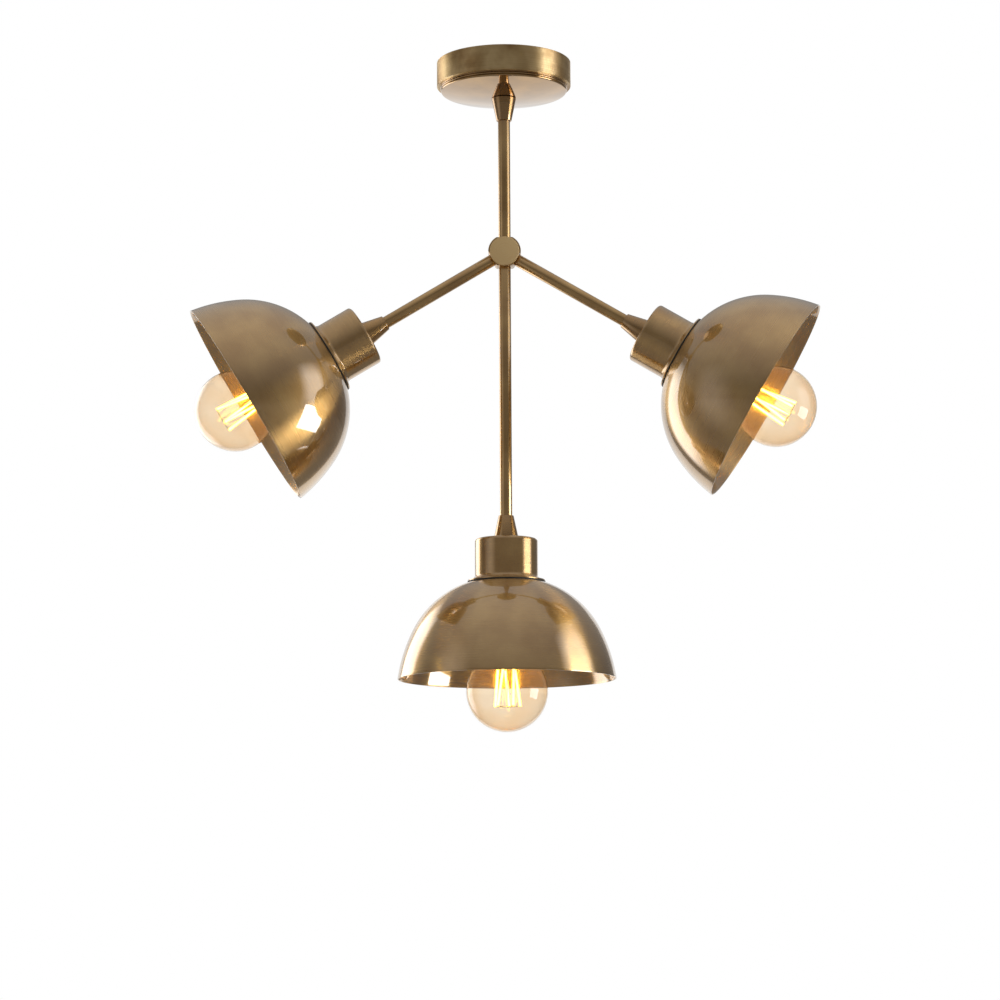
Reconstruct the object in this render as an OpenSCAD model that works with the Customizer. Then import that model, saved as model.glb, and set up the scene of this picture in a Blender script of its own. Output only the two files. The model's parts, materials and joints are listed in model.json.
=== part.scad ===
// Three-light ceiling pendant with spun dome shades, in antique brass.
// Sizes are in millimetres. The origin is on the ceiling plane, on the axis of the stem.
// +Z is up and the front faces -Y, so the left lamp lies at -X and the right lamp at +X.

/* [Canopy] */
// Outer diameter of the canopy wall
canopy_d = 134; // [128:1:170]
// Height of the canopy wall, from the ceiling to the step
canopy_wall_h = 25; // [24:0.5:40]
// How far the lip steps in from the wall
canopy_step = 4; // [2:0.5:6]
// Height of the stepped-in lip
canopy_lip_h = 5; // [4:0.5:8]
// How far the domed bottom bulges below the lip
canopy_dome = 7; // [4:0.5:12]
// Sheet thickness of the canopy
canopy_wall = 1; // [0.8:0.1:1.4]

/* [Ceiling bracket] */
// Distance between the centres of the two ceiling slots
slot_spacing = 84; // [76:1:90]
// Length of each ceiling slot, end to end
slot_l = 14; // [10:1:16]
// Width of each ceiling slot
slot_w = 5; // [4:0.5:6]
// Width of the strap
bracket_w = 20; // [16:1:24]
// Thickness of the strap
bracket_t = 1.5; // [1.2:0.1:2]
// Depth of the joggle, from the ceiling to the top of the middle plate
bracket_drop = 18; // [17:0.5:19]
// Half length of the flat middle plate
bracket_mid = 28; // [27.5:0.25:29]

/* [Tubes] */
// Outer diameter of the stem and arm tubes
tube_d = 12; // [11.6:0.1:13.5]
// Bore of the tubes, tapped for the nipples
tube_bore = 10; // [9.6:0.1:10.4]
// Drop from the ceiling to the centre of the hub
stem_drop = 195; // [170:5:600]
// Length of lower stem that shows between the hub and its ferrule
lower_stem_l = 250; // [200:5:500]
// Length of each arm that shows between the hub and its ferrule
arm_l = 124; // [100:1:220]
// Angle of the arms below the horizontal
arm_droop = 31; // [26:1:40]
// Angle by which each arm is swung forward of the hub's mid plane
arm_forward = 3.5; // [0:0.5:6]

/* [Hub] */
// Diameter of the hub drum
hub_d = 32.4; // [31:0.2:38]
// Depth of the hub, front to back, without the lid
hub_depth = 18.5; // [17:0.5:24]
// Distance from the hub's axis to each milled tube seat
hub_seat = 14.2; // [13.8:0.1:15]
// Diameter of the hub lid
hub_lid_d = 29.2; // [27:0.2:30]
// Thickness of the hub lid in front of the hub
hub_lid_t = 1.5; // [1:0.1:3]
// Diameter of the hollow inside the hub
hub_hollow_d = 23; // [21:0.2:24]

/* [Ferrules and collar] */
// Length of the tapered ferrules and of the collar
ferrule_l = 23; // [18:0.5:30]
// Diameter of the wide end of a ferrule
ferrule_wide_d = 24.5; // [20:0.5:28]
// Diameter of the narrow end of a ferrule
ferrule_narrow_d = 15; // [14.4:0.2:17]
// Depth of the tube's seat in a ferrule
ferrule_seat = 8; // [5:0.5:10]
// Diameter of the collar's grub screw
grub_d = 3; // [2.5:0.1:4]

/* [Cup] */
// Diameter of the cup that covers the lampholder's fixing
cup_d = 62; // [54:1:70]
// Height of the cup, from the edge of its foot to its top
cup_h = 42; // [30:1:60]
// Sheet thickness of the cup
cup_wall = 1; // [0.8:0.1:1.4]
// Outer radius of the cup's top edge
cup_corner = 3; // [2:0.5:6]
// Diameter of the flared foot
foot_d = 76; // [74:1:84]
// Radius of the sweep from the cup wall to the foot
foot_sweep = 4; // [2:0.5:5]
// Thickness of the black gasket under the foot
gasket_t = 1.2; // [0.8:0.1:2]
// Width of the gasket
gasket_w = 5; // [3:0.5:6]

/* [Shade] */
// Diameter of the shade at its rim
shade_d = 214; // [200:1:240]
// Height of the shade, from the rim to the crown
shade_h = 99.4; // [92:0.2:110]
// Sheet thickness of the shade
shade_wall = 1; // [0.8:0.1:1.4]
// Lean of the shade's side at the rim, in degrees from the shade's axis
shade_lean = 8.2; // [6:0.1:11]
// Radius of the arc of the shade's side
shade_side_r = 158; // [150:1:175]
// Radius of the flat on the crown
crown_flat_r = 8.7; // [8:0.1:12]

/* [Fixings] */
// Bore of the threaded nipples
nipple_bore = 8; // [7.4:0.1:8.4]
// Size of the hex nuts across their flats
nut_af = 14; // [13:0.5:16]
// Thickness of the hex nuts
nut_t = 3; // [2:0.5:4]
// Thickness of the washer under the crown
washer_t = 1; // [0.6:0.1:1.6]
// Diameter of that washer
washer_d = 20; // [17:0.5:24]

/* [Lampholder] */
// Diameter of the lampholder
holder_d = 40; // [38:0.5:44]
// Height of the lampholder
holder_h = 51; // [50:0.5:53]
// Wall of the lampholder's cap
holder_wall = 2.2; // [1.6:0.1:2.6]
// Depth of the centre contact below the top of the lampholder
contact_drop = 28; // [27:0.5:29]

/* [Bulb] */
// Diameter of the glass globe
globe_d = 80; // [70:1:95]
// Length of the whole bulb
bulb_l = 118; // [116:1:125]
// Thickness of the glass
glass_t = 0.8; // [0.6:0.1:1.2]
// Diameter of the glass neck
neck_d = 28; // [27:0.5:31]
// Radius of the sweep from the globe to the neck
neck_sweep = 12; // [8:1:12]
// Number of filament sticks
filament_n = 5; // [3:1:8]
// Length of each filament stick
filament_l = 36; // [28:1:40]
// Diameter of each filament stick
filament_d = 2; // [1.4:0.1:2.4]
// Radius of the ring on which the sticks stand at their lower ends
filament_ring_r = 9; // [7:0.5:12]

/* [Wiring] */
// Diameter of the flex to each lamp
flex_d = 3; // [2.4:0.1:3.2]
// Radius of the flexes' bend inside the hub
hub_bend = 9; // [7:0.5:9.5]
// Length of the terminal block, along its row of clamps
block_l = 26; // [24:1:30]
// Width of the terminal block, along the strap
block_w = 16; // [14:0.5:16.5]
// Height of the terminal block
block_h = 15; // [14:0.5:15.5]

/* [Hidden] */

$fn = 96;

// Clearances
thread_fit = 0.05;
pass_fit = 0.1;
slide_fit = 0.15;
running_gap = 0.2;
eps = 0.01;

// Tube radii
tube_r = tube_d / 2;
bore_r = tube_bore / 2;
nipple_r = bore_r - thread_fit;
nipple_in_r = nipple_bore / 2;
nipple_grip = 15;
nut_hole_r = nipple_r + thread_fit;

// Ceiling end, downward from the ceiling plane
plate_top = -bracket_drop;
plate_bottom = plate_top - bracket_t;
stem_top = plate_bottom - nut_t;
nipple_proud = 1;
leg_splay = 0.28;
leg_inset = 0.6;
nipple_top = plate_top + nut_t + nipple_proud;
bracket_end = slot_spacing / 2;
canopy_r = canopy_d / 2;
lip_r = canopy_r - canopy_step;
lip_bottom = -canopy_wall_h - canopy_lip_h;
dome_r = (lip_r * lip_r + canopy_dome * canopy_dome) / (2 * canopy_dome);
canopy_bottom = lip_bottom - canopy_dome;
dome_z = canopy_bottom + dome_r;
canopy_hole_r = tube_r + 0.5;
lip_round = 1.5;
lip_c = [
    lip_r - lip_round,
    dome_z - sqrt(pow(dome_r - lip_round, 2) - pow(lip_r - lip_round, 2))
];
lip_angle = atan2(lip_c.y - dome_z, lip_c.x);
blend = 0.02;
bead_r = 0.6;
collar_top = canopy_bottom;
collar_bore_r = tube_r + slide_fit;
grub_place = 0.72;
grub_z = collar_top - grub_place * ferrule_l;
grub_socket_d = 1.5;
grub_l = 3;
edge_cut = 0.4;

// Hub
hub_z = -stem_drop;
hub_r = hub_d / 2;
hub_hollow_r = hub_hollow_d / 2;
hub_back = hub_depth / 2;
hub_front = -hub_depth / 2;
hub_back_wall = 2;
hub_edge = 1;
lid_plug_l = 2.6;
lid_edge = 0.6;
hub_nipple_in = hub_hollow_r - 0.3;
hub_nipple_l = hub_seat + nipple_grip - hub_nipple_in;

// Shade outline: the side's arc starts at the rim with the given lean and runs tangent into
// the shoulder's arc, which ends level on the crown's flat.
shade_r = shade_d / 2;
arc_a = crown_flat_r - shade_r + shade_side_r * cos(shade_lean);
arc_b = shade_h + shade_side_r * sin(shade_lean);
shoulder_r = (arc_a * arc_a + arc_b * arc_b - shade_side_r * shade_side_r)
    / (2 * (arc_b - shade_side_r));
shoulder_c = [crown_flat_r, shade_h - shoulder_r];
side_c = [shade_r - shade_side_r * cos(shade_lean), -shade_side_r * sin(shade_lean)];
join_angle = atan2(shoulder_c.y - side_c.y, shoulder_c.x - side_c.x);
far = 4 * shade_side_r;

// Cup: its foot follows the shoulder of the shade at the gasket's thickness
cup_r = cup_d / 2;
foot_r = foot_d / 2;
foot_under_r = shoulder_r + gasket_t;
foot_over_r = foot_under_r + cup_wall;
foot_edge = shoulder_c.y + sqrt(pow(foot_under_r, 2) - pow(foot_r - shoulder_c.x, 2));
cup_top = foot_edge + cup_h;
sweep_c = [
    cup_r + foot_sweep,
    shoulder_c.y + sqrt(pow(foot_over_r + foot_sweep, 2)
        - pow(cup_r + foot_sweep - shoulder_c.x, 2))
];
sweep_angle = atan2(sweep_c.y - shoulder_c.y, sweep_c.x - shoulder_c.x);
gasket_proud = 0.3;
ferrule_top = cup_top + ferrule_l;
lamp_tube_end = ferrule_top - ferrule_seat;
fixing_hole_r = nipple_r + pass_fit;

// Lampholder, downward from the washer, whose edge meets the underside of the crown
washer_r = washer_d / 2;
crown_under = shoulder_c.y
    + sqrt(pow(shoulder_r - shade_wall, 2) - pow(max(0, washer_r - crown_flat_r), 2));
nut_top = crown_under - washer_t;
holder_top = nut_top - nut_t;
holder_r = holder_d / 2;
holder_boss_r = 9;
holder_boss_h = 4;
holder_shoulder_h = 14;
holder_skirt_h = 21;
holder_floor_h = 25;
holder_floor_t = 3;
holder_spigot_h = 5;
wire_hole_r = 1.5;
contact_r = 4;
contact_gap = 0.3;
holder_bottom = holder_top - holder_h;
holder_grip = 9;
lamp_nipple_bottom = holder_top - holder_grip;
lamp_nipple_top = lamp_tube_end + nipple_grip;

// Screw cap and shell, to the common 27 mm size
cap_r = 13.1;
cap_root_r = 12.75;
cap_wall = 0.35;
thread_pitch = 3.6;
thread_turns = 5;
thread_bead_r = 0.9;
cap_l = 26;
cap_cone_h = 6;
cap_tip_r = 4.6;
cap_tip_h = 1.6;
cap_hem = 1.5;
shell_r = cap_r + 0.35;
shell_t = 0.4;
shell_bead_r = 0.7;
shell_l = 22;
holder_bore_r = shell_r + shell_t + shell_bead_r + 0.2;

// Bulb, with its own origin at the centre of the globe
globe_r = globe_d / 2;
contact_h = holder_top - contact_drop;
globe_h = contact_h - (bulb_l - globe_r);
neck_r = neck_d / 2;
cap_foot = bulb_l - globe_r - cap_l;
glass_plug_r = cap_root_r - cap_wall - 0.15;
glass_plug_l = 9;
// The sweep to the neck is no larger than the room between the globe and the cap lets it be
neck_room = cap_foot - (neck_r - glass_plug_r) - 0.5;
sweep_room = (neck_room * neck_room - globe_r * globe_r + neck_r * neck_r)
    / (2 * (globe_r - neck_r));
neck_sweep_r = min(neck_sweep, max(0.5, sweep_room));
neck_c = [
    neck_r + neck_sweep_r,
    sqrt(pow(globe_r + neck_sweep_r, 2) - pow(neck_r + neck_sweep_r, 2))
];
mount_rod_r = 2.4;
mount_foot = 24;
filament_top = mount_foot - 3;
filament_top_r = 5;
wire_r = 0.35;

// Wiring
flex_r = flex_d / 2;
flex_seat = nipple_in_r - flex_r - 0.4;
flex_top_bend = 4.5;
flex_run_z = nipple_top + flex_top_bend;
flex_depth = 13;
flex_end_h = holder_top - flex_depth;
flex_in = 4;
bend_swell = 0.03;
bend_lap = 0.2;
block_gap = 0.3;
block_y = nut_af / 2 / cos(30) + 2;
block_pitch = block_l / 3;
clamp_bore_r = 1.8;
clamp_screw_r = 1.7;
screw_slot_w = 0.6;
block_screw_r = 1.5;
block_screw_head_r = 2;
block_screw_head_h = 1.8;
block_screw_depth = 6;
earth_y = -(nut_af / 2 + 9);
earth_r = 2;
earth_head_r = 3.6;
earth_head_h = 2.2;
earth_nut_af = 7;
earth_nut_t = 2.4;

// Distance from the centre of the hub to the rim plane of a lamp, along its tube
lower_reach = hub_seat + lower_stem_l + ferrule_top;
side_reach = hub_seat + arm_l + ferrule_top;

// Colours as the photograph shows them
brass = "#a98653";
pale_brass = "#b8965f";
zinc = "#b9bcc0";
black = "#1c1b1a";
amber = [0.93, 0.66, 0.28, 0.45];
clear = [0.9, 0.92, 0.92, 0.5];
glow = "#ffe08a";
ivory = "#ebe6d6";

// Placing: each lamp has its own frame, with the origin at the centre of its rim plane and +Z
// along its tube towards the hub
module at_lower() {
    translate([0, 0, hub_z - lower_reach]) children();
}

module at_side(side) {
    translate([0, 0, hub_z])
        rotate([0, 0, -side * arm_forward])
            rotate([0, -side * (90 - arm_droop), 0])
                translate([0, 0, -side_reach]) children();
}

module at_left() {
    at_side(-1) children();
}

module at_right() {
    at_side(1) children();
}

// The hub's frame, turned so that +Z runs out along a tube
module at_hub_seat(index) {
    side_turn = 90 + arm_droop;
    turns = [
        [0, 0, 0], [0, 180, 0], [0, -side_turn, arm_forward], [0, side_turn, -arm_forward]
    ];
    translate([0, 0, hub_z]) rotate(turns[index]) children();
}

// Shared shapes
module tube(outer_r, inner_r, low, high) {
    translate([0, 0, low])
        difference() {
            cylinder(h = high - low, r = outer_r);
            translate([0, 0, -1]) cylinder(h = high - low + 2, r = inner_r);
        }
}

module ring2d(centre, outer_r, inner_r) {
    translate(centre)
        difference() {
            circle(r = outer_r, $fn = 360);
            circle(r = inner_r, $fn = 360);
        }
}

// Wedge from a centre between two directions, under 90 degrees apart
module wedge(centre, from, to) {
    polygon([
        centre,
        centre + far * [cos(from), sin(from)],
        centre + far * [cos((from + to) / 2), sin((from + to) / 2)] * 1.5,
        centre + far * [cos(to), sin(to)]
    ]);
}

module hex_nut(low, thick, flats, hole_r) {
    translate([0, 0, low])
        difference() {
            cylinder(h = thick, r = flats / 2 / cos(30), $fn = 6);
            translate([0, 0, -1]) cylinder(h = thick + 2, r = hole_r);
        }
}

module rod(from, to, r) {
    way = to - from;
    flat = norm([way.x, way.y]);
    translate(from)
        rotate([0, atan2(flat, way.z), atan2(way.y, way.x)])
            cylinder(h = norm(way), r = r, $fn = 24);
}

// Ceiling end
module ceiling_bracket() {
    leg = bracket_mid + leg_splay * bracket_drop;
    inner_mid = bracket_mid - leg_inset * bracket_t;
    outline = [
        [-bracket_mid, plate_bottom], [bracket_mid, plate_bottom],
        [leg + bracket_t, -bracket_t], [bracket_end + bracket_w / 2, -bracket_t],
        [bracket_end + bracket_w / 2, 0], [leg, 0],
        [inner_mid, plate_top], [-inner_mid, plate_top],
        [-leg, 0], [-bracket_end - bracket_w / 2, 0],
        [-bracket_end - bracket_w / 2, -bracket_t], [-leg - bracket_t, -bracket_t]
    ];
    color(zinc)
        difference() {
            intersection() {
                rotate([90, 0, 90])
                    linear_extrude(bracket_w, center = true) polygon(outline);
                translate([0, 0, plate_bottom - 1])
                    linear_extrude(bracket_drop + bracket_t + 2) union() {
                        square([bracket_w, 2 * bracket_end], center = true);
                        for (side = [-1, 1])
                            translate([0, side * bracket_end]) circle(d = bracket_w);
                    }
            }
            for (side = [-1, 1])
                translate([0, side * bracket_end, -bracket_t - 1])
                    linear_extrude(bracket_t + 2) slot2d();
            translate([0, 0, plate_bottom - 1])
                cylinder(h = bracket_t + 2, r = nipple_r + pass_fit);
            translate([0, earth_y, plate_bottom - 1])
                cylinder(h = bracket_t + 2, r = earth_r + pass_fit);
            translate([block_pitch / 2, block_y + block_w / 2, plate_bottom - 1])
                cylinder(h = bracket_t + 2, r = block_screw_r + pass_fit);
        }
}

module slot2d() {
    reach = (slot_l - slot_w) / 2;
    square([slot_w, 2 * reach], center = true);
    for (side = [-1, 1])
        translate([0, side * reach]) circle(d = slot_w);
}

module bracket_nuts() {
    color(zinc) {
        hex_nut(plate_top, nut_t, nut_af, nut_hole_r);
        hex_nut(plate_bottom - nut_t, nut_t, nut_af, nut_hole_r);
    }
}

module stem_nipple() {
    color(zinc) tube(nipple_r, nipple_in_r, stem_top - nipple_grip, nipple_top);
}

module terminal_block() {
    groove_w = 1.6;
    groove_d = 4;
    color(ivory)
        difference() {
            translate([-block_l / 2, block_y, plate_top]) cube([block_l, block_w, block_h]);
            for (way = [-1, 0, 1])
                translate([way * block_pitch, block_y - 1, flex_run_z])
                    rotate([-90, 0, 0]) cylinder(h = block_w + 2, r = clamp_bore_r, $fn = 32);
            for (way = [-1, 0, 1], row = [0.25, 0.75])
                translate([way * block_pitch, block_y + row * block_w, flex_run_z])
                    cylinder(h = block_h, r = clamp_screw_r + pass_fit, $fn = 32);
            for (side = [-0.5, 0.5])
                translate([side * block_pitch - groove_w / 2, block_y - 1, plate_top + block_h - groove_d])
                    cube([groove_w, block_w + 2, groove_d + 1]);
            translate([block_pitch / 2, block_y + block_w / 2, plate_top - 1])
                cylinder(h = block_h + 2, r = block_screw_r + pass_fit, $fn = 32);
            translate([block_pitch / 2, block_y + block_w / 2, plate_top + block_screw_depth])
                cylinder(h = block_h, r = block_screw_head_r + pass_fit, $fn = 32);
        }
}

module terminal_screws() {
    low = flex_run_z + clamp_bore_r + 0.2;
    high = plate_top + block_h - 0.4;
    color(zinc)
        for (way = [-1, 0, 1], row = [0.25, 0.75])
            translate([way * block_pitch, block_y + row * block_w, low])
                difference() {
                    cylinder(h = high - low, r = clamp_screw_r, $fn = 32);
                    translate([-clamp_screw_r - 1, -screw_slot_w / 2, high - low - 0.7])
                        cube([2 * clamp_screw_r + 2, screw_slot_w, 1]);
                }
}

module block_screw() {
    color(zinc)
        translate([block_pitch / 2, block_y + block_w / 2, 0])
            difference() {
                union() {
                    translate([0, 0, plate_bottom - 2])
                        cylinder(h = bracket_t + 2 + block_screw_depth, r = block_screw_r, $fn = 32);
                    translate([0, 0, plate_top + block_screw_depth])
                        cylinder(h = block_screw_head_h, r = block_screw_head_r, $fn = 32);
                }
                translate([-block_screw_head_r - 1, -screw_slot_w / 2,
                        plate_top + block_screw_depth + block_screw_head_h - 0.8])
                    cube([2 * block_screw_head_r + 2, screw_slot_w, 1]);
            }
}

module earth_screw() {
    color(brass)
        translate([0, earth_y, 0]) {
            difference() {
                union() {
                    translate([0, 0, plate_bottom - earth_nut_t - 1])
                        cylinder(h = bracket_t + earth_nut_t + 1, r = earth_r, $fn = 32);
                    translate([0, 0, plate_top]) cylinder(h = earth_head_h, r = earth_head_r, $fn = 48);
                }
                translate([-earth_head_r - 1, -screw_slot_w / 2, plate_top + earth_head_h - 1])
                    cube([2 * earth_head_r + 2, screw_slot_w, 2]);
            }
            hex_nut(plate_bottom - earth_nut_t, earth_nut_t, earth_nut_af, earth_r + thread_fit);
        }
}

// Canopy: one spun sheet, with its wall, step, lip and domed bottom, and two fine beads
module canopy() {
    color(brass)
        rotate_extrude()
            difference() {
                union() {
                    translate([canopy_r - canopy_wall, -canopy_wall_h])
                        square([canopy_wall, canopy_wall_h]);
                    translate([lip_r - canopy_wall, -canopy_wall_h])
                        square([canopy_r - lip_r + canopy_wall, canopy_wall]);
                    translate([lip_r - canopy_wall, lip_c.y])
                        square([canopy_wall, -canopy_wall_h + canopy_wall - lip_c.y]);
                    for (drop = [bead_r, canopy_lip_h / 2])
                        translate([lip_r, -canopy_wall_h - drop]) circle(r = bead_r, $fn = 24);
                    intersection() {
                        ring2d(lip_c, lip_round, lip_round - canopy_wall);
                        wedge(lip_c, lip_angle, 0);
                    }
                    intersection() {
                        ring2d([0, dome_z], dome_r, dome_r - canopy_wall);
                        wedge([0, dome_z], -90, lip_angle + blend);
                    }
                }
                translate([0, canopy_bottom - 1]) square([canopy_hole_r, canopy_dome + 5]);
            }
}

// Tapered turned piece, wide end down at zero: the ferrules, and turned over the collar
module taper() {
    rotate_extrude()
        polygon([
            [0, 0], [ferrule_wide_d / 2 - edge_cut, 0], [ferrule_wide_d / 2, edge_cut],
            [ferrule_narrow_d / 2, ferrule_l], [0, ferrule_l]
        ]);
}

module canopy_collar() {
    color(brass)
        difference() {
            translate([0, 0, collar_top]) mirror([0, 0, 1]) taper();
            translate([0, 0, collar_top - ferrule_l - 1])
                cylinder(h = ferrule_l + 2, r = collar_bore_r);
            translate([0, 0, grub_z]) rotate([-90, 0, 0])
                cylinder(h = ferrule_wide_d, r = grub_d / 2 + thread_fit, $fn = 32);
        }
}

module collar_grub_screw() {
    tip = tube_r + running_gap;
    color(zinc)
        translate([0, tip, grub_z]) rotate([-90, 0, 0])
            difference() {
                cylinder(h = grub_l, r = grub_d / 2, $fn = 32);
                translate([0, 0, grub_l / 2])
                    cylinder(h = grub_l, r = grub_socket_d / 2, $fn = 6);
            }
}

// Tubes
module upper_stem() {
    color(brass) tube(tube_r, bore_r, hub_z + hub_seat, stem_top);
}

module lower_stem() {
    color(brass) at_hub_seat(1) tube(tube_r, bore_r, hub_seat, lower_reach - lamp_tube_end);
}

module arm(index) {
    color(brass) at_hub_seat(index) tube(tube_r, bore_r, hub_seat, side_reach - lamp_tube_end);
}

module left_arm() {
    arm(2);
}

module right_arm() {
    arm(3);
}

// Hub: a drum across the stem, hollow for the wiring, with a milled flat and a tapped hole
// at each of its four tubes and a lid in front
module hub() {
    color(brass)
        difference() {
            translate([0, 0, hub_z]) rotate([-90, 0, 0]) rotate_extrude()
                polygon([
                    [0, hub_front], [hub_r - hub_edge, hub_front], [hub_r, hub_front + hub_edge],
                    [hub_r, hub_back - hub_edge], [hub_r - hub_edge, hub_back], [0, hub_back]
                ]);
            translate([0, hub_front - 1, hub_z]) rotate([-90, 0, 0])
                cylinder(h = hub_depth - hub_back_wall + 1, r = hub_hollow_r);
            for (index = [0 : 3])
                at_hub_seat(index) {
                    translate([-hub_r, -hub_depth, hub_seat]) cube([2 * hub_r, 2 * hub_depth, hub_r]);
                    translate([0, 0, hub_hollow_r / 2]) cylinder(h = hub_r, r = nut_hole_r);
                }
        }
}

module hub_lid() {
    color(pale_brass)
        translate([0, 0, hub_z]) rotate([90, 0, 0]) translate([0, 0, -hub_front]) rotate_extrude()
            polygon([
                [0, -lid_plug_l], [hub_hollow_r - thread_fit, -lid_plug_l], [hub_hollow_r - thread_fit, 0],
                [hub_lid_d / 2, 0], [hub_lid_d / 2, hub_lid_t - lid_edge],
                [hub_lid_d / 2 - lid_edge, hub_lid_t], [0, hub_lid_t]
            ]);
}

module hub_nipples() {
    color(zinc)
        for (index = [0 : 3])
            at_hub_seat(index) tube(nipple_r, nipple_in_r, hub_nipple_in, hub_nipple_in + hub_nipple_l);
}

// Flexes: each runs up its lamp's tube, turns in the hub and leaves the top of the stem
// sideways, fanned out to its own clamp. A bend is a hair thicker than the straight runs, which
// lap into it.
module flex_bend(radius, turn) {
    rotate_extrude(angle = turn) translate([radius, 0]) circle(r = flex_r + bend_swell, $fn = 32);
}

module flex_top(foot, turn, run) {
    translate([foot.x, foot.y, 0]) rotate([0, 0, turn]) {
        translate([flex_top_bend, 0, nipple_top])
            rotate([90, 0, 0]) rotate([0, 0, 90]) flex_bend(flex_top_bend, 90);
        translate([flex_top_bend - bend_lap, 0, flex_run_z]) rotate([0, 90, 0])
            cylinder(h = run + bend_lap, r = flex_r, $fn = 32);
    }
}

module lower_flex() {
    foot = [0, flex_seat];
    low = hub_z - lower_reach + flex_end_h;
    color(black) {
        translate([foot.x, foot.y, low])
            cylinder(h = nipple_top - low + bend_lap, r = flex_r, $fn = 32);
        flex_top(foot, 90, block_y + flex_in - foot.y - flex_top_bend);
    }
}

// A side flex stands beside the stem's axis and turns into the arm in one upright plane
module side_flex(side) {
    foot = flex_seat * [side * cos(30), -sin(30)];
    out = side > 0 ? -arm_forward : 180 + arm_forward;
    along = foot.x * cos(out) + foot.y * sin(out);
    side_run = side_reach - flex_end_h - along / cos(arm_droop);
    corner_z = hub_z - along * tan(arm_droop);
    turn = 90 - arm_droop;
    tangent = hub_bend * tan(turn / 2);
    goal = [side * block_pitch, block_y - block_gap];
    way = goal - foot;
    color(black) {
        translate([foot.x, foot.y, corner_z + tangent - bend_lap])
            cylinder(h = nipple_top - corner_z - tangent + 2 * bend_lap, r = flex_r, $fn = 32);
        flex_top(foot, atan2(way.y, way.x),
            norm(way) - flex_top_bend - flex_r * abs(way.x) / norm(way));
        translate([foot.x, foot.y, corner_z]) rotate([0, 0, out]) {
            translate([hub_bend, 0, tangent])
                rotate([90, 0, 0]) rotate([0, 0, 180]) flex_bend(hub_bend, turn);
            rotate([0, 90 + arm_droop, 0]) translate([0, 0, tangent - bend_lap])
                cylinder(h = side_run - tangent + bend_lap, r = flex_r, $fn = 32);
        }
    }
}

module left_flex() {
    side_flex(-1);
}

module right_flex() {
    side_flex(1);
}

// Lamp pieces, each in the lamp's own frame
module ferrule() {
    color(brass)
        difference() {
            translate([0, 0, cup_top]) taper();
            translate([0, 0, cup_top - 1]) cylinder(h = ferrule_l + 2, r = fixing_hole_r);
            translate([0, 0, lamp_tube_end]) cylinder(h = ferrule_seat + 1, r = tube_r + pass_fit);
        }
}

module cup() {
    corner_c = [cup_r - cup_corner, cup_top - cup_corner];
    color(brass)
        rotate_extrude()
            union() {
                translate([fixing_hole_r, cup_top - cup_wall])
                    square([corner_c.x - fixing_hole_r, cup_wall]);
                intersection() {
                    ring2d(corner_c, cup_corner, cup_corner - cup_wall);
                    wedge(corner_c, 0, 90);
                }
                translate([cup_r - cup_wall, sweep_c.y]) square([cup_wall, corner_c.y - sweep_c.y]);
                intersection() {
                    ring2d(sweep_c, foot_sweep + cup_wall, foot_sweep);
                    wedge(sweep_c, 180, 180 + sweep_angle);
                }
                intersection() {
                    ring2d(shoulder_c, foot_over_r, foot_under_r);
                    wedge(shoulder_c, 0, sweep_angle + blend);
                    square([foot_r, cup_top]);
                }
            }
}

module gasket() {
    color(black)
        rotate_extrude()
            intersection() {
                ring2d(shoulder_c, foot_under_r, shoulder_r);
                translate([foot_r + gasket_proud - gasket_w, 0]) square([gasket_w, cup_top]);
            }
}

module shade() {
    color(brass)
        rotate_extrude()
            union() {
                translate([fixing_hole_r, shade_h - shade_wall])
                    square([crown_flat_r - fixing_hole_r, shade_wall]);
                intersection() {
                    ring2d(shoulder_c, shoulder_r, shoulder_r - shade_wall);
                    wedge(shoulder_c, join_angle, 90);
                }
                intersection() {
                    ring2d(side_c, shade_side_r, shade_side_r - shade_wall);
                    wedge([side_c.x - side_c.y / tan(join_angle), 0], 0, join_angle);
                }
            }
}

module nipple() {
    color(zinc) tube(nipple_r, nipple_in_r, lamp_nipple_bottom, lamp_nipple_top);
}

module shade_nut() {
    color(zinc) {
        tube(washer_r, fixing_hole_r, nut_top, crown_under);
        hex_nut(holder_top, nut_t - eps, nut_af, nut_hole_r);
    }
}

module holder_cap() {
    boss = holder_top - holder_boss_h;
    shoulder = holder_top - holder_shoulder_h;
    skirt = holder_top - holder_skirt_h;
    shoulder_rise = holder_shoulder_h - holder_boss_h;
    color(black)
        rotate_extrude()
            difference() {
                union() {
                    translate([0, boss - 1]) square([holder_boss_r, holder_boss_h + 1]);
                    translate([0, skirt]) square([holder_r, shoulder - skirt]);
                    translate([0, shoulder]) square([holder_r - shoulder_rise, shoulder_rise]);
                    intersection() {
                        translate([holder_r - shoulder_rise, shoulder]) circle(r = shoulder_rise);
                        translate([0, shoulder]) square([holder_r, shoulder_rise]);
                    }
                }
                translate([0, skirt - 1]) square([nut_hole_r, holder_skirt_h + 2]);
                translate([0, skirt - 1])
                    square([holder_r - holder_wall, shoulder - skirt + 1]);
                translate([0, shoulder - 1])
                    square([holder_r - shoulder_rise, shoulder_rise + 1 - holder_wall]);
                intersection() {
                    translate([holder_r - shoulder_rise, shoulder]) circle(r = shoulder_rise - holder_wall);
                    translate([0, shoulder]) square([holder_r, shoulder_rise]);
                }
            }
}

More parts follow.
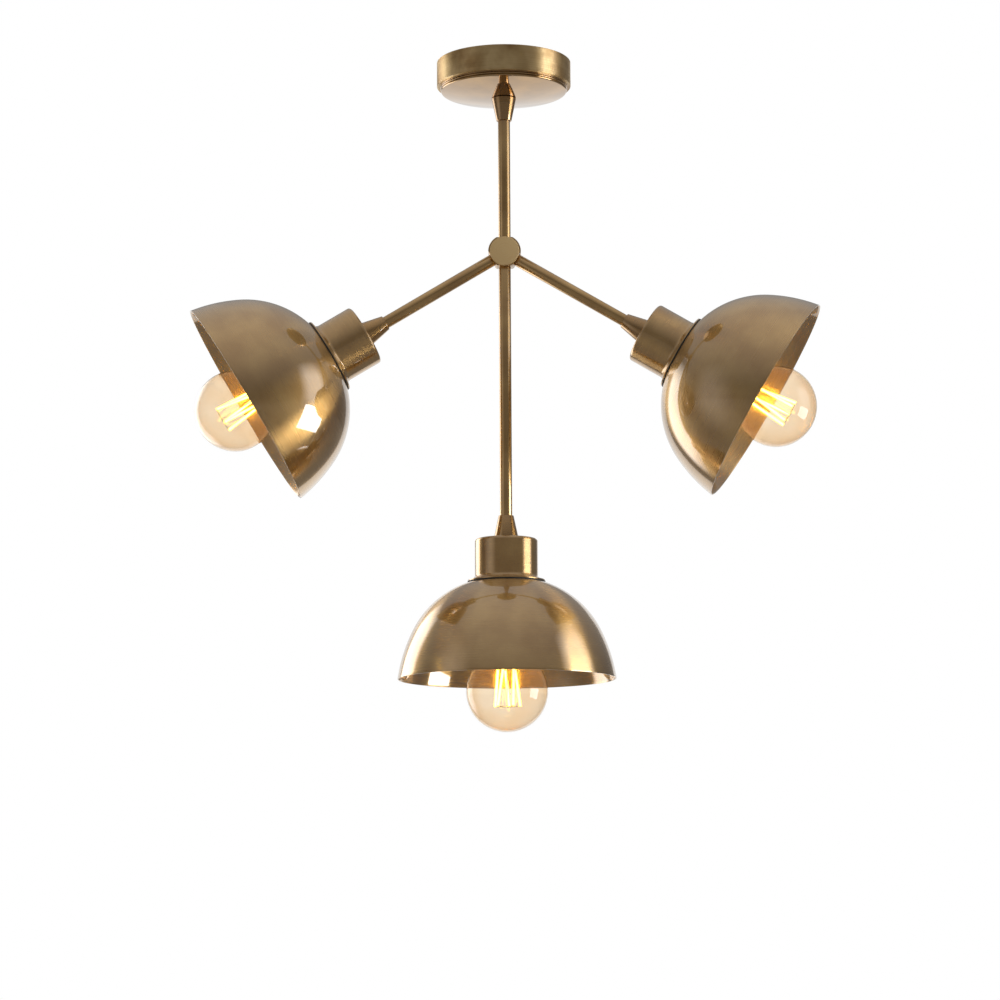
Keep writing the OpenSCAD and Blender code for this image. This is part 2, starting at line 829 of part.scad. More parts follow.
module holder_body() {
    skirt = holder_top - holder_skirt_h;
    floor_top = holder_top - holder_floor_h + holder_floor_t;
    spigot_r = holder_r - holder_wall - thread_fit;
    color(black)
        rotate_extrude()
            difference() {
                union() {
                    translate([0, skirt]) square([spigot_r, holder_spigot_h]);
                    translate([0, holder_bottom + 2]) square([holder_r, skirt - holder_bottom - 2]);
                    translate([0, holder_bottom]) square([holder_r - 2, 3]);
                    translate([holder_r - 2, holder_bottom + 2]) circle(r = 2, $fn = 48);
                }
                translate([0, holder_bottom - 1])
                    square([holder_bore_r, floor_top - holder_floor_t - holder_bottom + 1]);
                translate([0, floor_top]) square([spigot_r - 1.8, holder_h]);
                square([wire_hole_r, holder_top]);
            }
}

module holder_shell() {
    top = holder_top - holder_floor_h;
    color(brass)
        rotate_extrude()
            difference() {
                union() {
                    translate([0, top - shell_l]) square([shell_r + shell_t, shell_l]);
                    for (turn = [0 : thread_turns - 1])
                        translate([shell_r + shell_t - 0.1, top - shell_l + 3 + turn * thread_pitch])
                            circle(r = shell_bead_r, $fn = 32);
                }
                translate([0, top - shell_l - 1]) square([shell_r, shell_l - shell_t + 1]);
                square([contact_r + 1, holder_top]);
            }
    color(pale_brass) tube(contact_r, wire_hole_r, contact_h + contact_gap, top);
}

// Bulb pieces, in the globe's own frame
module at_bulb() {
    translate([0, 0, globe_h]) children();
}

module globe_outline(inset) {
    intersection() {
        circle(r = globe_r - inset, $fn = 360);
        translate([0, -globe_d]) square([globe_d, 2 * globe_d]);
    }
    difference() {
        polygon([[0, 0], neck_c, [0, neck_c.y]]);
        translate(neck_c) circle(r = neck_sweep_r + inset, $fn = 360);
    }
}

module bulb_glass() {
    shoulder = neck_r - glass_plug_r;
    plug_top = cap_foot + glass_plug_l;
    color(amber)
        at_bulb() rotate_extrude()
            difference() {
                union() {
                    globe_outline(0);
                    polygon([
                        [0, neck_c.y], [neck_r, neck_c.y], [neck_r, cap_foot - shoulder],
                        [glass_plug_r, cap_foot], [glass_plug_r, plug_top], [0, plug_top]
                    ]);
                }
                globe_outline(glass_t);
                polygon([
                    [0, neck_c.y - eps], [neck_r - glass_t, neck_c.y - eps],
                    [neck_r - glass_t, cap_foot - shoulder - glass_t / 2],
                    [glass_plug_r - glass_t, cap_foot - glass_t / 2],
                    [glass_plug_r - glass_t, plug_top + 1], [0, plug_top + 1]
                ]);
            }
}

module bulb_cap() {
    cone_foot = cap_foot + cap_l - cap_cone_h - cap_tip_h;
    tip_foot = cap_foot + cap_l - cap_tip_h;
    color(zinc)
        at_bulb() rotate_extrude()
            difference() {
                union() {
                    translate([0, cap_foot]) square([cap_root_r, cone_foot - cap_foot]);
                    translate([0, cap_foot]) square([cap_r, cap_hem]);
                    for (turn = [0 : thread_turns - 2])
                        translate([cap_r - thread_bead_r, cap_foot + cap_hem + 2 + turn * thread_pitch])
                            circle(r = thread_bead_r, $fn = 32);
                    polygon([
                        [0, cone_foot], [cap_root_r - cap_wall, cone_foot], [cap_tip_r + 1, tip_foot],
                        [cap_tip_r, tip_foot], [cap_tip_r, tip_foot + cap_tip_h], [0, tip_foot + cap_tip_h]
                    ]);
                }
                translate([0, cap_foot - 1])
                    square([cap_root_r - cap_wall, cone_foot - cap_foot]);
            }
}

module bulb_mount() {
    flare_top = cap_foot + glass_plug_l - 0.5;
    flare_foot = cap_foot - 2;
    color(clear)
        at_bulb() rotate_extrude()
            polygon([
                [0, mount_foot], [mount_rod_r, mount_foot], [mount_rod_r, flare_foot],
                [glass_plug_r - glass_t - thread_fit, flare_top],
                [glass_plug_r - glass_t - thread_fit, flare_top + 0.5], [0, flare_top + 0.5]
            ]);
}

module bulb_filaments() {
    low = filament_top - filament_l;
    first = 10;
    twist = 20;
    color(glow)
        at_bulb() {
            rod([0, 0, mount_foot], [0, 0, low - 1], wire_r);
            for (index = [0 : filament_n - 1]) {
                angle = first + index * 360 / filament_n;
                lead = angle + twist;
                head = [filament_top_r * cos(lead), filament_top_r * sin(lead), filament_top];
                foot = [filament_ring_r * cos(angle), filament_ring_r * sin(angle), low];
                rod(head, foot, filament_d / 2);
                rod([0, 0, filament_top + 1], head, wire_r);
                rod([0, 0, low - 1 + wire_r], foot, wire_r);
            }
        }
}

ceiling_bracket();
bracket_nuts();
terminal_block();
terminal_screws();
block_screw();
earth_screw();
canopy();
canopy_collar();
collar_grub_screw();
stem_nipple();
upper_stem();
hub();
hub_lid();
hub_nipples();
lower_stem();
left_arm();
right_arm();
lower_flex();
left_flex();
right_flex();
at_lower() ferrule();  // lower_ferrule
at_lower() cup();  // lower_cup
at_lower() gasket();  // lower_gasket
at_lower() shade();  // lower_shade
at_lower() nipple();  // lower_nipple
at_lower() shade_nut();  // lower_shade_nut
at_lower() holder_cap();  // lower_holder_cap
at_lower() holder_body();  // lower_holder_body
at_lower() holder_shell();  // lower_holder_shell
at_lower() bulb_glass();  // lower_bulb_glass
at_lower() bulb_cap();  // lower_bulb_cap
at_lower() bulb_mount();  // lower_bulb_mount
at_lower() bulb_filaments();  // lower_bulb_filaments
at_left() ferrule();  // left_ferrule
at_left() cup();  // left_cup
at_left() gasket();  // left_gasket
at_left() shade();  // left_shade
at_left() nipple();  // left_nipple
at_left() shade_nut();  // left_shade_nut
at_left() holder_cap();  // left_holder_cap
at_left() holder_body();  // left_holder_body
at_left() holder_shell();  // left_holder_shell
at_left() bulb_glass();  // left_bulb_glass
at_left() bulb_cap();  // left_bulb_cap
at_left() bulb_mount();  // left_bulb_mount
at_left() bulb_filaments();  // left_bulb_filaments
at_right() ferrule();  // right_ferrule
at_right() cup();  // right_cup
at_right() gasket();  // right_gasket
at_right() shade();  // right_shade
at_right() nipple();  // right_nipple
at_right() shade_nut();  // right_shade_nut
at_right() holder_cap();  // right_holder_cap
at_right() holder_body();  // right_holder_body
at_right() holder_shell();  // right_holder_shell
at_right() bulb_glass();  // right_bulb_glass
at_right() bulb_cap();  // right_bulb_cap
at_right() bulb_mount();  // right_bulb_mount
at_right() bulb_filaments();  // right_bulb_filaments
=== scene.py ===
"""Three-light ceiling pendant in antique brass: the finished look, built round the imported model."""

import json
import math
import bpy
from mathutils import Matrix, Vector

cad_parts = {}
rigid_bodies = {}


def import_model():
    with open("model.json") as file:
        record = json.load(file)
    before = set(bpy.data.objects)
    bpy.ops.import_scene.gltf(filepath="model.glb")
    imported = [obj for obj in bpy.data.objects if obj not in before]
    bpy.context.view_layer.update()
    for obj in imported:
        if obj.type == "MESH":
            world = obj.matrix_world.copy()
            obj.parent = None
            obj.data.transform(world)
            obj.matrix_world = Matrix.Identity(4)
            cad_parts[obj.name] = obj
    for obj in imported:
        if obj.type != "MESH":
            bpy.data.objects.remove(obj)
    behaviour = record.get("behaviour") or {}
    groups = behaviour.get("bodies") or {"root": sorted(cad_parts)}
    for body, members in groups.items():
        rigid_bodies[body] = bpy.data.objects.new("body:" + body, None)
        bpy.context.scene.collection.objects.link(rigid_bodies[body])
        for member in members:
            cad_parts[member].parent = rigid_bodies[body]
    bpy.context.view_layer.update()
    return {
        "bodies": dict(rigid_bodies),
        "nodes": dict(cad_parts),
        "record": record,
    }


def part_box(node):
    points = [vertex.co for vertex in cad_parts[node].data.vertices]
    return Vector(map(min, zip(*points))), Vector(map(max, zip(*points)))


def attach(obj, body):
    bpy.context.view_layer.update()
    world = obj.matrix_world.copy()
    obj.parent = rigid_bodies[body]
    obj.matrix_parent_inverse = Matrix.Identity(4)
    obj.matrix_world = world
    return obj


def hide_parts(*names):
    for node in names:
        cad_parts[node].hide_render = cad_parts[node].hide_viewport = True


bl_info = {
    "name": "Three-light pendant",
    "version": (1, 0, 0),
    "blender": (4, 5, 0),
    "location": "3D View > Sidebar > Pendant",
    "description": "Builds the visible pieces, finishes and studio of a three-light pendant",
    "category": "Object",
}

import bmesh
import bpy
from bpy.props import FloatProperty, FloatVectorProperty, IntProperty, PointerProperty
from mathutils import Matrix, Vector

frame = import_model()

MM = 0.001
LAMPS = ("lower", "left", "right")
HARD_EDGE = 35  # degrees between two faces above which their edge counts as hard
NIPPLE_HOLE_R = 5.05 * MM  # the holes that the lamps' nipples pass through
TUBE_SEAT_L = 8 * MM  # how far a tube goes into its ferrule
SCREW_CAP_L = 26 * MM  # a bulb's screw cap, from its foot to its contact
THREAD_PITCH = 3.6 * MM  # of the common 27 mm lamp thread
GLASS_PLUG_L = 9 * MM  # how far the glass and the mount of a bulb go into its screw cap
MOUNT_FOOT = 24 * MM  # from the centre of a globe up to its glass mount
UV_PER_METRE = 10  # scale of the run along a profile in the map that the highlights follow


def node_size(node, axis):
    """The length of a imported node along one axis, in metres."""
    low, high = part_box(node)
    return high[axis] - low[axis]


def linear(code):
    """An sRGB hex value as linear red, green and blue."""
    parts = [int(code[i : i + 2], 16) / 255 for i in (1, 3, 5)]
    return [p / 12.92 if p <= 0.04045 else ((p + 0.055) / 1.055) ** 2.4 for p in parts]


# ---------------------------------------------------------------- sizes and colours


def length(name, description, default):
    """A length property, in metres."""
    return FloatProperty(
        name=name, description=description, default=default, min=0, unit="LENGTH",
        subtype="DISTANCE",
    )


def turn(name, description, degrees):
    """An angle property, given in degrees."""
    return FloatProperty(
        name=name, description=description, default=math.radians(degrees), unit="ROTATION",
        subtype="ANGLE",
    )


def tint(name, description, code):
    """A colour property, given as an sRGB hex value."""
    return FloatVectorProperty(
        name=name, description=description, default=linear(code), min=0, max=1, size=3,
        subtype="COLOR",
    )


class PendantSizes(bpy.types.PropertyGroup):
    """Sizes of the pendant's visible pieces, as its solids have them"""

    stem_drop: length("Stem drop", "From the ceiling to the centre of the hub", 0.195)
    tube_d: length("Tube diameter", "Outer diameter of stem and arms", node_size("upper_stem", 0))
    tube_bore: length("Tube bore", "Inner diameter of stem and arms", 0.010)
    arm_droop: turn("Arm droop", "Angle of the arms below the horizontal", 31)
    arm_forward: turn("Arm swing", "Angle by which each arm is swung forward", 3.5)
    side_offset: length("Arm shortfall", "How much shorter an arm is than the lower stem", 0.126)
    canopy_d: length("Canopy diameter", "Outer diameter of the canopy", 0.134)
    canopy_wall_h: length("Canopy wall", "Height of the canopy's wall", 0.025)
    canopy_step: length("Canopy step", "How far the lip steps in", 0.004)
    canopy_lip_h: length("Canopy lip", "Height of the lip", 0.005)
    canopy_dome: length("Canopy dome", "Bulge of the bottom plate", 0.007)
    hub_d: length("Hub diameter", "Diameter of the hub drum", 0.0324)
    hub_depth: length("Hub depth", "Depth of the hub drum, front to back", 0.0185)
    hub_seat: length("Tube seat", "From the hub's axis to each flat", 0.0142)
    lid_d: length("Lid diameter", "Diameter of the hub's lid", 0.0292)
    lid_t: length("Lid thickness", "Thickness of the lid", 0.0015)
    ferrule_l: length("Ferrule length", "Length of the tapered ferrules", 0.023)
    ferrule_wide_d: length("Ferrule foot", "Diameter of a ferrule's wide end", 0.0245)
    ferrule_narrow_d: length("Ferrule tip", "Diameter of a ferrule's narrow end", 0.015)
    cup_d: length("Cup diameter", "Diameter of the cup", 0.062)
    cup_h: length("Cup height", "Height of the cup", 0.042)
    foot_d: length("Cup foot", "Diameter of the cup's flared foot", 0.076)
    sheet_t: length("Sheet thickness", "Thickness of the spun brass", 0.001)
    shade_d: length("Shade diameter", "Diameter of a shade's rim", 0.214)
    shade_h: length("Shade height", "Height of a shade", 0.0994)
    shade_lean: turn("Shade lean", "Lean of the shade's side at the rim", 8.2)
    shade_side_r: length("Side radius", "Radius of the arc of the shade's side", 0.158)
    crown_flat_r: length("Crown flat", "Radius of the flat on the crown", 0.0087)
    globe_d: length("Globe diameter", "Diameter of a bulb's globe", 0.080)
    bulb_l: length("Bulb length", "Length of a whole bulb", 0.118)


class PendantColours(bpy.types.PropertyGroup):
    """Colours of the pendant's finishes"""

    brass: tint("Antique brass", "Lacquered antique brass where it is light", "#cba465")
    brass_dark: tint("Antique brass, dark", "The darker clouds of the antique finish, and painted shade on collar and ferrules", "#b58c50")
    umber: tint("Umber brass", "A deeper brown of the brass: the polished plate's, and painted shade on collar and ferrules", "#997648")
    stain: tint("Brown stain", "The stain where it lies thick in a groove", "#6b4d2b")
    brass_pale: tint("Pale brass", "Pale brass of the hub's lid, and painted light on the canopy's wall", "#f4d7a0")
    glass: tint("Amber glass", "Tint of the bulbs' glass, seen square on", "#fcf0de")
    glass_edge: tint("Amber glass, edge", "Tint of the bulbs' glass, seen edge-on", "#f8d8ac")
    filament: tint("Filament light", "Colour of the lit filament sticks", "#ffe27a")
    zinc: tint("Zinc plate", "Zinc-plated steel of hidden fixings", "#b9bcc0")
    black: tint("Black moulding", "Black lampholders, gaskets and cable", "#1b1a19")
    ivory: tint("Ivory moulding", "Terminal block", "#ebe6d6")
    nickel: tint("Nickel", "Screw caps of the bulbs", "#c9c6bd")


# ---------------------------------------------------------------- mesh tools


def draw(bm, start, moves):
    """Draws a profile in the XZ plane, closed unless it starts on the axis. A move is a point to
    go straight to, or a centre, the degrees to turn clockwise round it and the number of steps."""
    run = bm.verts.layers.float.get("run") or bm.verts.layers.float.new("run")
    first = bm.verts.new((start[0], 0, start[1]))
    pen = first
    for move in moves:
        before = len(bm.verts)
        if len(move) == 2:
            new = bmesh.ops.extrude_vert_indiv(bm, verts=[pen])["verts"][0]
            new.co = (move[0], 0, move[1])
            path = [pen, new]
        else:
            centre_x, centre_z, degrees, steps = move
            bmesh.ops.spin(
                bm, geom=[pen], cent=(centre_x, 0, centre_z), axis=(0, 1, 0),
                angle=math.radians(degrees), steps=steps,
            )
            bm.verts.ensure_lookup_table()
            path = [pen] + [bm.verts[i] for i in range(before, len(bm.verts))]
        for a, b in zip(path, path[1:]):
            b[run] = a[run] + (b.co - a.co).length
        pen = path[-1]
    if start[0] > 0:
        bm.edges.new((pen, first))


def lathe(bm, steps):
    """Spins what is drawn once round the Z axis into a closed skin."""
    bmesh.ops.spin(
        bm, geom=bm.verts[:] + bm.edges[:], cent=(0, 0, 0), axis=(0, 0, 1),
        angle=2 * math.pi, steps=steps, use_merge=True,
    )
    bmesh.ops.remove_doubles(bm, verts=bm.verts, dist=0.002 * MM)
    bmesh.ops.recalc_face_normals(bm, faces=bm.faces)


def fold(edge):
    """The angle between an edge's two faces, in degrees, or none where it hasn't two."""
    return math.degrees(edge.calc_face_angle(0)) if len(edge.link_faces) == 2 else None


def soften(bm, width, segments=2):
    """Rounds the hard edges of a piece over a small width."""
    hard = [e for e in bm.edges if (fold(e) or 0) > HARD_EDGE]
    bmesh.ops.bevel(
        bm, geom=hard, offset=width, segments=segments, profile=0.5, affect="EDGES",
        material=-1, clamp_overlap=True,
    )


def finish_mesh(bm, name, place, material, body, slot, *nodes):
    """Turns a bmesh into a smooth-shaded piece in its place, which rides on a body and stands for
    its CAD nodes. The lathe's direction and run are kept for the finish to follow."""
    run = bm.verts.layers.float.get("run") or bm.verts.layers.float.new("run")
    turned = bm.verts.layers.float_vector.new("turned")
    for v in bm.verts:
        flat = Vector((v.co.x, v.co.y, 0))
        way = flat.normalized() if flat.length > 0.01 * MM else Vector((1, 0, 0))
        v[turned] = (way.x, way.y, v[run])
    along = bm.loops.layers.uv.new("along")
    for face in bm.faces:
        face.smooth = True
        middle = face.calc_center_median()
        lead = math.atan2(middle.y, middle.x)
        for loop in face.loops:
            swing = math.atan2(loop.vert.co.y, loop.vert.co.x) - lead
            swing -= 2 * math.pi * round(swing / (2 * math.pi))
            loop[along].uv = (loop.vert[run] * UV_PER_METRE, (lead + swing) / (2 * math.pi))
    for edge in bm.edges:
        angle = fold(edge)
        edge.smooth = angle is not None and angle < HARD_EDGE
    bm.transform(place)
    mesh = bpy.data.meshes.new(name)
    bm.to_mesh(mesh)
    bm.free()
    mesh.materials.append(material)
    piece = bpy.data.objects.new(name, mesh)
    bpy.context.scene.collection.objects.link(piece)
    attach(piece, body)
    if nodes:
        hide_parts(*nodes)
    return piece


def turned_up(start, moves, steps, edge=0.0):
    """The skin of a turned or spun piece, from its profile, with its hard edges softened."""
    bm = bmesh.new()
    draw(bm, start, moves)
    lathe(bm, steps)
    if edge:
        soften(bm, edge)
    return bm


def lamp_place(lamp):
    """The place of a lamp's own frame: its origin is at the centre of the rim, +Z to the hub."""
    sizes = bpy.context.scene.pendant_sizes
    hub = Matrix.Translation((0, 0, -sizes.stem_drop))
    lower_reach = -sizes.stem_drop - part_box("lower_shade")[0][2]
    if lamp == "lower":
        return hub @ Matrix.Translation((0, 0, -lower_reach))
    side = -1 if lamp == "left" else 1
    swing = Matrix.Rotation(-side * sizes.arm_forward, 4, "Z")
    droop = Matrix.Rotation(-side * (math.pi / 2 - sizes.arm_droop), 4, "Y")
    return hub @ swing @ droop @ Matrix.Translation((0, 0, sizes.side_offset - lower_reach))


def bulb_centre():
    """The height of the globe's centre above the rim plane."""
    globe_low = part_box("lower_bulb_glass")[0][2]
    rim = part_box("lower_shade")[0][2]
    return globe_low - rim + bpy.context.scene.pendant_sizes.globe_d / 2


def at_each_lamp(bm, name, material, slot, node=None):
    """Puts a piece in its place on all three lamps, once it is drawn in a lamp's own frame, or in
    a globe's frame where its name starts with bulb."""
    on_bulb = name.startswith("bulb")
    made = []
    for lamp in LAMPS:
        place = lamp_place(lamp)
        if on_bulb:
            place = place @ Matrix.Translation((0, 0, bulb_centre()))
        nodes = [lamp + "_" + node] if node else []
        body = lamp + "_bulb" if on_bulb else "frame"
        made.append(finish_mesh(bm.copy(), lamp + "_" + name, place, material, body, slot, *nodes))
    bm.free()
    return made


def shade_arcs():
    """The shade's two arcs: shoulder radius and centre, side centre and angle where they meet."""
    s = bpy.context.scene.pendant_sizes
    side_x = s.shade_d / 2 - s.shade_side_r * math.cos(s.shade_lean)
    side_z = -s.shade_side_r * math.sin(s.shade_lean)
    across = s.crown_flat_r - side_x
    up = s.shade_h - side_z
    shoulder_r = (across**2 + up**2 - s.shade_side_r**2) / (2 * (up - s.shade_side_r))
    shoulder = Vector((s.crown_flat_r, s.shade_h - shoulder_r))
    side = Vector((side_x, side_z))
    meet = math.atan2(shoulder.y - side.y, shoulder.x - side.x)
    return shoulder_r, shoulder, side, meet


# ---------------------------------------------------------------- materials


def wire(tree, node, links):
    """Links sockets to the inputs of a node."""
    for key, socket in links.items():
        tree.links.new(socket, node.inputs[key])


def add(tree, kind, settings=None, values=None, links=None):
    """Adds a node: its settings, the values of its inputs and the sockets linked to them."""
    node = tree.nodes.new(kind)
    for key, value in (settings or {}).items():
        setattr(node, key, value)
    for key, value in (values or {}).items():
        node.inputs[key].default_value = value
    wire(tree, node, links or {})
    return node


def new_material(name, values):
    """A material whose principled surface has these values and is wired to the output."""
    material = bpy.data.materials.new(name)
    material.use_nodes = True
    tree = material.node_tree
    tree.nodes.clear()
    surface = add(tree, "ShaderNodeBsdfPrincipled", None, values)
    add(tree, "ShaderNodeOutputMaterial", None, None, {"Surface": surface.outputs["BSDF"]})
    return material, tree, surface


def colour4(value):
    """A colour with its alpha, as a colour socket takes it."""
    return (value[0], value[1], value[2], 1)


def lathe_lines(tree, spacing, around=2.5):
    """Fine lines that run round a turned piece, at a spacing in metres."""
    turned = add(tree, "ShaderNodeAttribute", {"attribute_name": "turned"})
    scale = (around, around, 1 / spacing)
    mapped = add(
        tree, "ShaderNodeMapping", {"vector_type": "POINT"}, {"Scale": scale},
        {"Vector": turned.outputs["Vector"]},
    )
    return add(
        tree, "ShaderNodeTexNoise", None, {"Scale": 1.0, "Detail": 3.0, "Roughness": 0.6},
        {"Vector": mapped.outputs["Vector"]},
    ).outputs["Fac"]


def grain(tree, size, detail=3.0):
    """Noise on the object's own coordinates, with features of a size in metres."""
    where = add(tree, "ShaderNodeTexCoord")
    return add(
        tree, "ShaderNodeTexNoise", None, {"Scale": 1 / size, "Detail": detail},
        {"Vector": where.outputs["Object"]},
    ).outputs["Fac"]


def spread(tree, socket, low, high, start=0.3, end=0.7):
    """Maps a value between two bounds, by default the middle of a noise, to a range."""
    return add(
        tree, "ShaderNodeMapRange", None,
        {"From Min": start, "From Max": end, "To Min": low, "To Max": high}, {"Value": socket},
    ).outputs["Result"]


def blend(tree, factor, first, second):
    """Mixes two colours by a factor."""
    return add(
        tree, "ShaderNodeMix", {"data_type": "RGBA"}, {6: colour4(first), 7: colour4(second)},
        {0: factor},
    ).outputs[2]


def brass(name, light, dark, rough, coat, lines_of, streaks, depth, grooved=1.0):
    """Brass that was spun or turned, brushed on the lathe, given a brown stain and lacquered: warm
    broad highlights from the brushed metal under sharper ones from the lacquer. It takes the light
    and dark tone, roughness, lacquer weight, spacing and reach of the lathe lines, how strongly they
    show, their depth, and how far they stretch the highlights along the profile. Where a call
    passes darker tones than the brass's own, they are painted shade."""
    # The lacquer's IOR is raised from 1.5 until its highlights show as they do on the object
    material, tree, surface = new_material(name, {
        "Metallic": 1.0, "Anisotropic": grooved, "Coat Weight": coat, "Coat Roughness": 0.03,
        "Coat IOR": 2.0,
    })
    lines = lathe_lines(tree, *lines_of)
    clouds = grain(tree, 35 * MM)
    stain_and_painted_shade = blend(tree, spread(tree, clouds, 0, 1, 0.35, 0.65), light, dark)
    brushed = add(
        tree, "ShaderNodeMix", {"data_type": "RGBA", "blend_type": "MULTIPLY"},
        {7: colour4(linear("#b9a78c"))},
        {0: spread(tree, lines, 0, streaks), 6: stain_and_painted_shade},
    ).outputs[2]
    bump = add(
        tree, "ShaderNodeBump", None, {"Strength": 0.5, "Distance": depth}, {"Height": lines},
    )
    rougher = spread(tree, lines, rough * (1 - streaks), rough * (1 + streaks))
    tangent = add(tree, "ShaderNodeTangent", {"direction_type": "UV_MAP", "uv_map": "along"})
    wire(tree, surface, {
        "Base Color": brushed, "Roughness": rougher, "Normal": bump.outputs["Normal"],
        "Tangent": tangent.outputs["Tangent"],
    })
    return material


def patterned(name, pattern, light, dark, rough, metal=0.0, depth=0.0):
    """A finish whose tone and roughness follow a pattern, which is grain or lathe_lines with its
    sizes in metres, and which stands proud by a depth, if it has one."""
    material, tree, surface = new_material(name, {"Metallic": metal})
    kind, *sizes = pattern
    marks = kind(tree, *sizes)
    wire(tree, surface, {
        "Base Color": blend(tree, marks, light, dark), "Roughness": spread(tree, marks, *rough),
    })
    if depth:
        bump = add(
            tree, "ShaderNodeBump", None, {"Strength": 0.3, "Distance": depth}, {"Height": marks},
        )
        wire(tree, surface, {"Normal": bump.outputs["Normal"]})
    return material


def edge_on(tree, weight, size, wobble, detail=3.0):
    """How far a surface is seen edge-on, made uneven by grain of a size in metres."""
    facing = add(tree, "ShaderNodeLayerWeight", None, {"Blend": weight}).outputs["Facing"]
    uneven = spread(tree, grain(tree, size, detail), -wobble, wobble)
    return add(
        tree, "ShaderNodeMath", {"use_clamp": True}, None, {0: facing, 1: uneven},
    ).outputs[0]


def make_materials():
    """Every finish on the pendant, by a short name."""
    c = bpy.context.scene.pendant_colours
    made = {}
    # Spun sheet brass, stained and lacquered to a gloss: lathe lines about 0.3 mm apart on the
    # real shade, drawn at 0.6 mm so that they show
    made["shade"] = brass(
        "Spun lacquered brass", c.brass, c.brass_dark, 0.29, 1.0, (0.6 * MM, 1.0), 0.1,
        0.0005 * MM,
    )
    # The same brass left satin by the brushing wheel, with a thinner lacquer
    made["satin"] = brass(
        "Brushed antique brass", c.brass, c.brass_dark, 0.32, 0.85, (0.5 * MM, 1.0), 0.2,
        0.0015 * MM,
    )
    # Painted shade: the tapered collar and ferrules are drawn in darker tones of the brass than what
    # they join
    made["stain_and_painted_shade"] = brass(
        "Antique brass darkened for painted shade", c.brass_dark, c.umber, 0.25, 0.6, (0.5 * MM, 1.0), 0.2,
        0.0015 * MM,
    )
    # The canopy's wall is brushed with a coarser wheel, so it spreads the light further; its pale
    # light tone is painted light, which lifts the wall where the room lights it dimly
    made["wheel"] = brass(
        "Wheel-brushed antique brass with painted light", c.brass_pale, c.brass_dark, 0.55, 0.25, (0.5 * MM, 1.0), 0.2,
        0.0015 * MM,
    )
    # Stain that the wheel leaves in the grooves of the canopy's lip
    made["groove"] = brass(
        "Stained groove in brass", c.stain, c.brass_dark, 0.5, 0.0, (0.5 * MM, 1.0), 0.1,
        0.0005 * MM,
    )
    # The canopy's plate is polished before it is lacquered, so it mirrors the collar below it
    made["plate"] = brass(
        "Polished antique brass", c.brass_dark, c.umber, 0.06, 0.8, (0.8 * MM, 1.0), 0.1,
        0.0005 * MM, 0.0,
    )
    # Drawn tube, brushed lengthwise and stained: streaks about 0.4 mm wide that run far along it
    made["drawn"] = brass(
        "Drawn antique brass tube", c.brass, c.brass_dark, 0.3, 0.7, (60 * MM, 15.0), 0.2,
        0.001 * MM, 0.0,
    )
    # Faced brass of the hub's lid: fine rings under a matt lacquer that hides the metal's shine, so
    # it is drawn without metallic and is paler than what surrounds it
    made["pale"] = patterned(
        "Matt-lacquered pale brass", (lathe_lines, 0.5 * MM, 1.0), c.brass_pale,
        linear("#ecc486"), (0.45, 0.6),
    )
    # Bright pressed brass of the shell inside the lampholder
    made["bare"] = brass(
        "Bare brass", c.brass_pale, c.brass, 0.3, 0.0, (0.6 * MM, 2.5), 0.3, 0.003 * MM, 0.0,
    )

    # Bright brass of the earth screw: machined, faintly tarnished by handling
    made["screw"] = patterned(
        "Machined brass", (grain, 1.5 * MM), c.brass_pale, c.brass, (0.2, 0.35), 1.0,
    )
    # Zinc-plated steel: grey, slightly spangled, dull
    made["zinc"] = patterned(
        "Zinc-plated steel", (grain, 1.5 * MM), c.zinc, linear("#8f9398"), (0.3, 0.45), 1.0,
    )
    # Black phenolic lampholder: moulded, faintly mottled and half dull
    made["phenolic"] = patterned(
        "Moulded black phenolic", (grain, 0.8 * MM), c.black, linear("#2b2927"), (0.35, 0.5),
    )
    # Black rubber sheet of the gasket: matte, with a talc bloom
    made["rubber"] = patterned(
        "Rubber sheet", (grain, 2 * MM), c.black, linear("#353331"), (0.6, 0.8),
    )
    # Cable sheath: extruded PVC with a soft, slightly uneven shine
    made["sheath"] = patterned(
        "Extruded cable sheath", (grain, 3 * MM), c.black, linear("#302e2c"), (0.4, 0.5),
    )
    # Ivory polyamide terminal block: moulded with a fine spark-eroded texture
    made["ivory"] = patterned(
        "Moulded ivory polyamide", (grain, 0.5 * MM), c.ivory, linear("#d8d2be"), (0.4, 0.55),
        depth=0.02 * MM,
    )
    # Nickel-plated pressed screw cap: bright with rolling marks
    made["nickel"] = patterned(
        "Nickel-plated pressing", (lathe_lines, 0.6 * MM), c.nickel, linear("#a8a499"),
        (0.2, 0.32), 1.0,
    )

    # Blown soda-lime glass with a thin amber lustre that is deeper where it is seen edge-on
    made["amber"], tree, surface = new_material(
        "Amber blown glass", {"Transmission Weight": 1.0, "Roughness": 0.0, "IOR": 1.45},
    )
    lustre = edge_on(tree, 0.35, 40 * MM, 0.3, detail=1.0)
    wire(tree, surface, {"Base Color": blend(tree, lustre, c.glass, c.glass_edge)})

    # Clear drawn glass of the mount inside the bulb, with faint drawing marks
    made["clear"], tree, surface = new_material("Clear drawn glass", {
        "Base Color": colour4(linear("#f4f6f5")), "Transmission Weight": 1.0, "IOR": 1.45,
    })
    wire(tree, surface, {"Roughness": spread(tree, grain(tree, 6 * MM), 0.0, 0.04)})

    # Phosphor-coated sticks, lit: near white where the coating faces out, yellow at its edges
    made["phosphor"], tree, surface = new_material(
        "Lit phosphor coating", {"Emission Strength": 7.0, "Roughness": 0.6},
    )
    coating = edge_on(tree, 0.5, 1.2 * MM, 0.15)
    glow = blend(tree, coating, c.filament, linear("#ffd21e"))
    wire(tree, surface, {"Base Color": glow, "Emission Color": glow})
    return made


FINISHES = {}


def finish_of(key):
    """A finish, made once and then shared."""
    if not FINISHES:
        FINISHES.update(make_materials())
    return FINISHES[key]


# ---------------------------------------------------------------- pieces


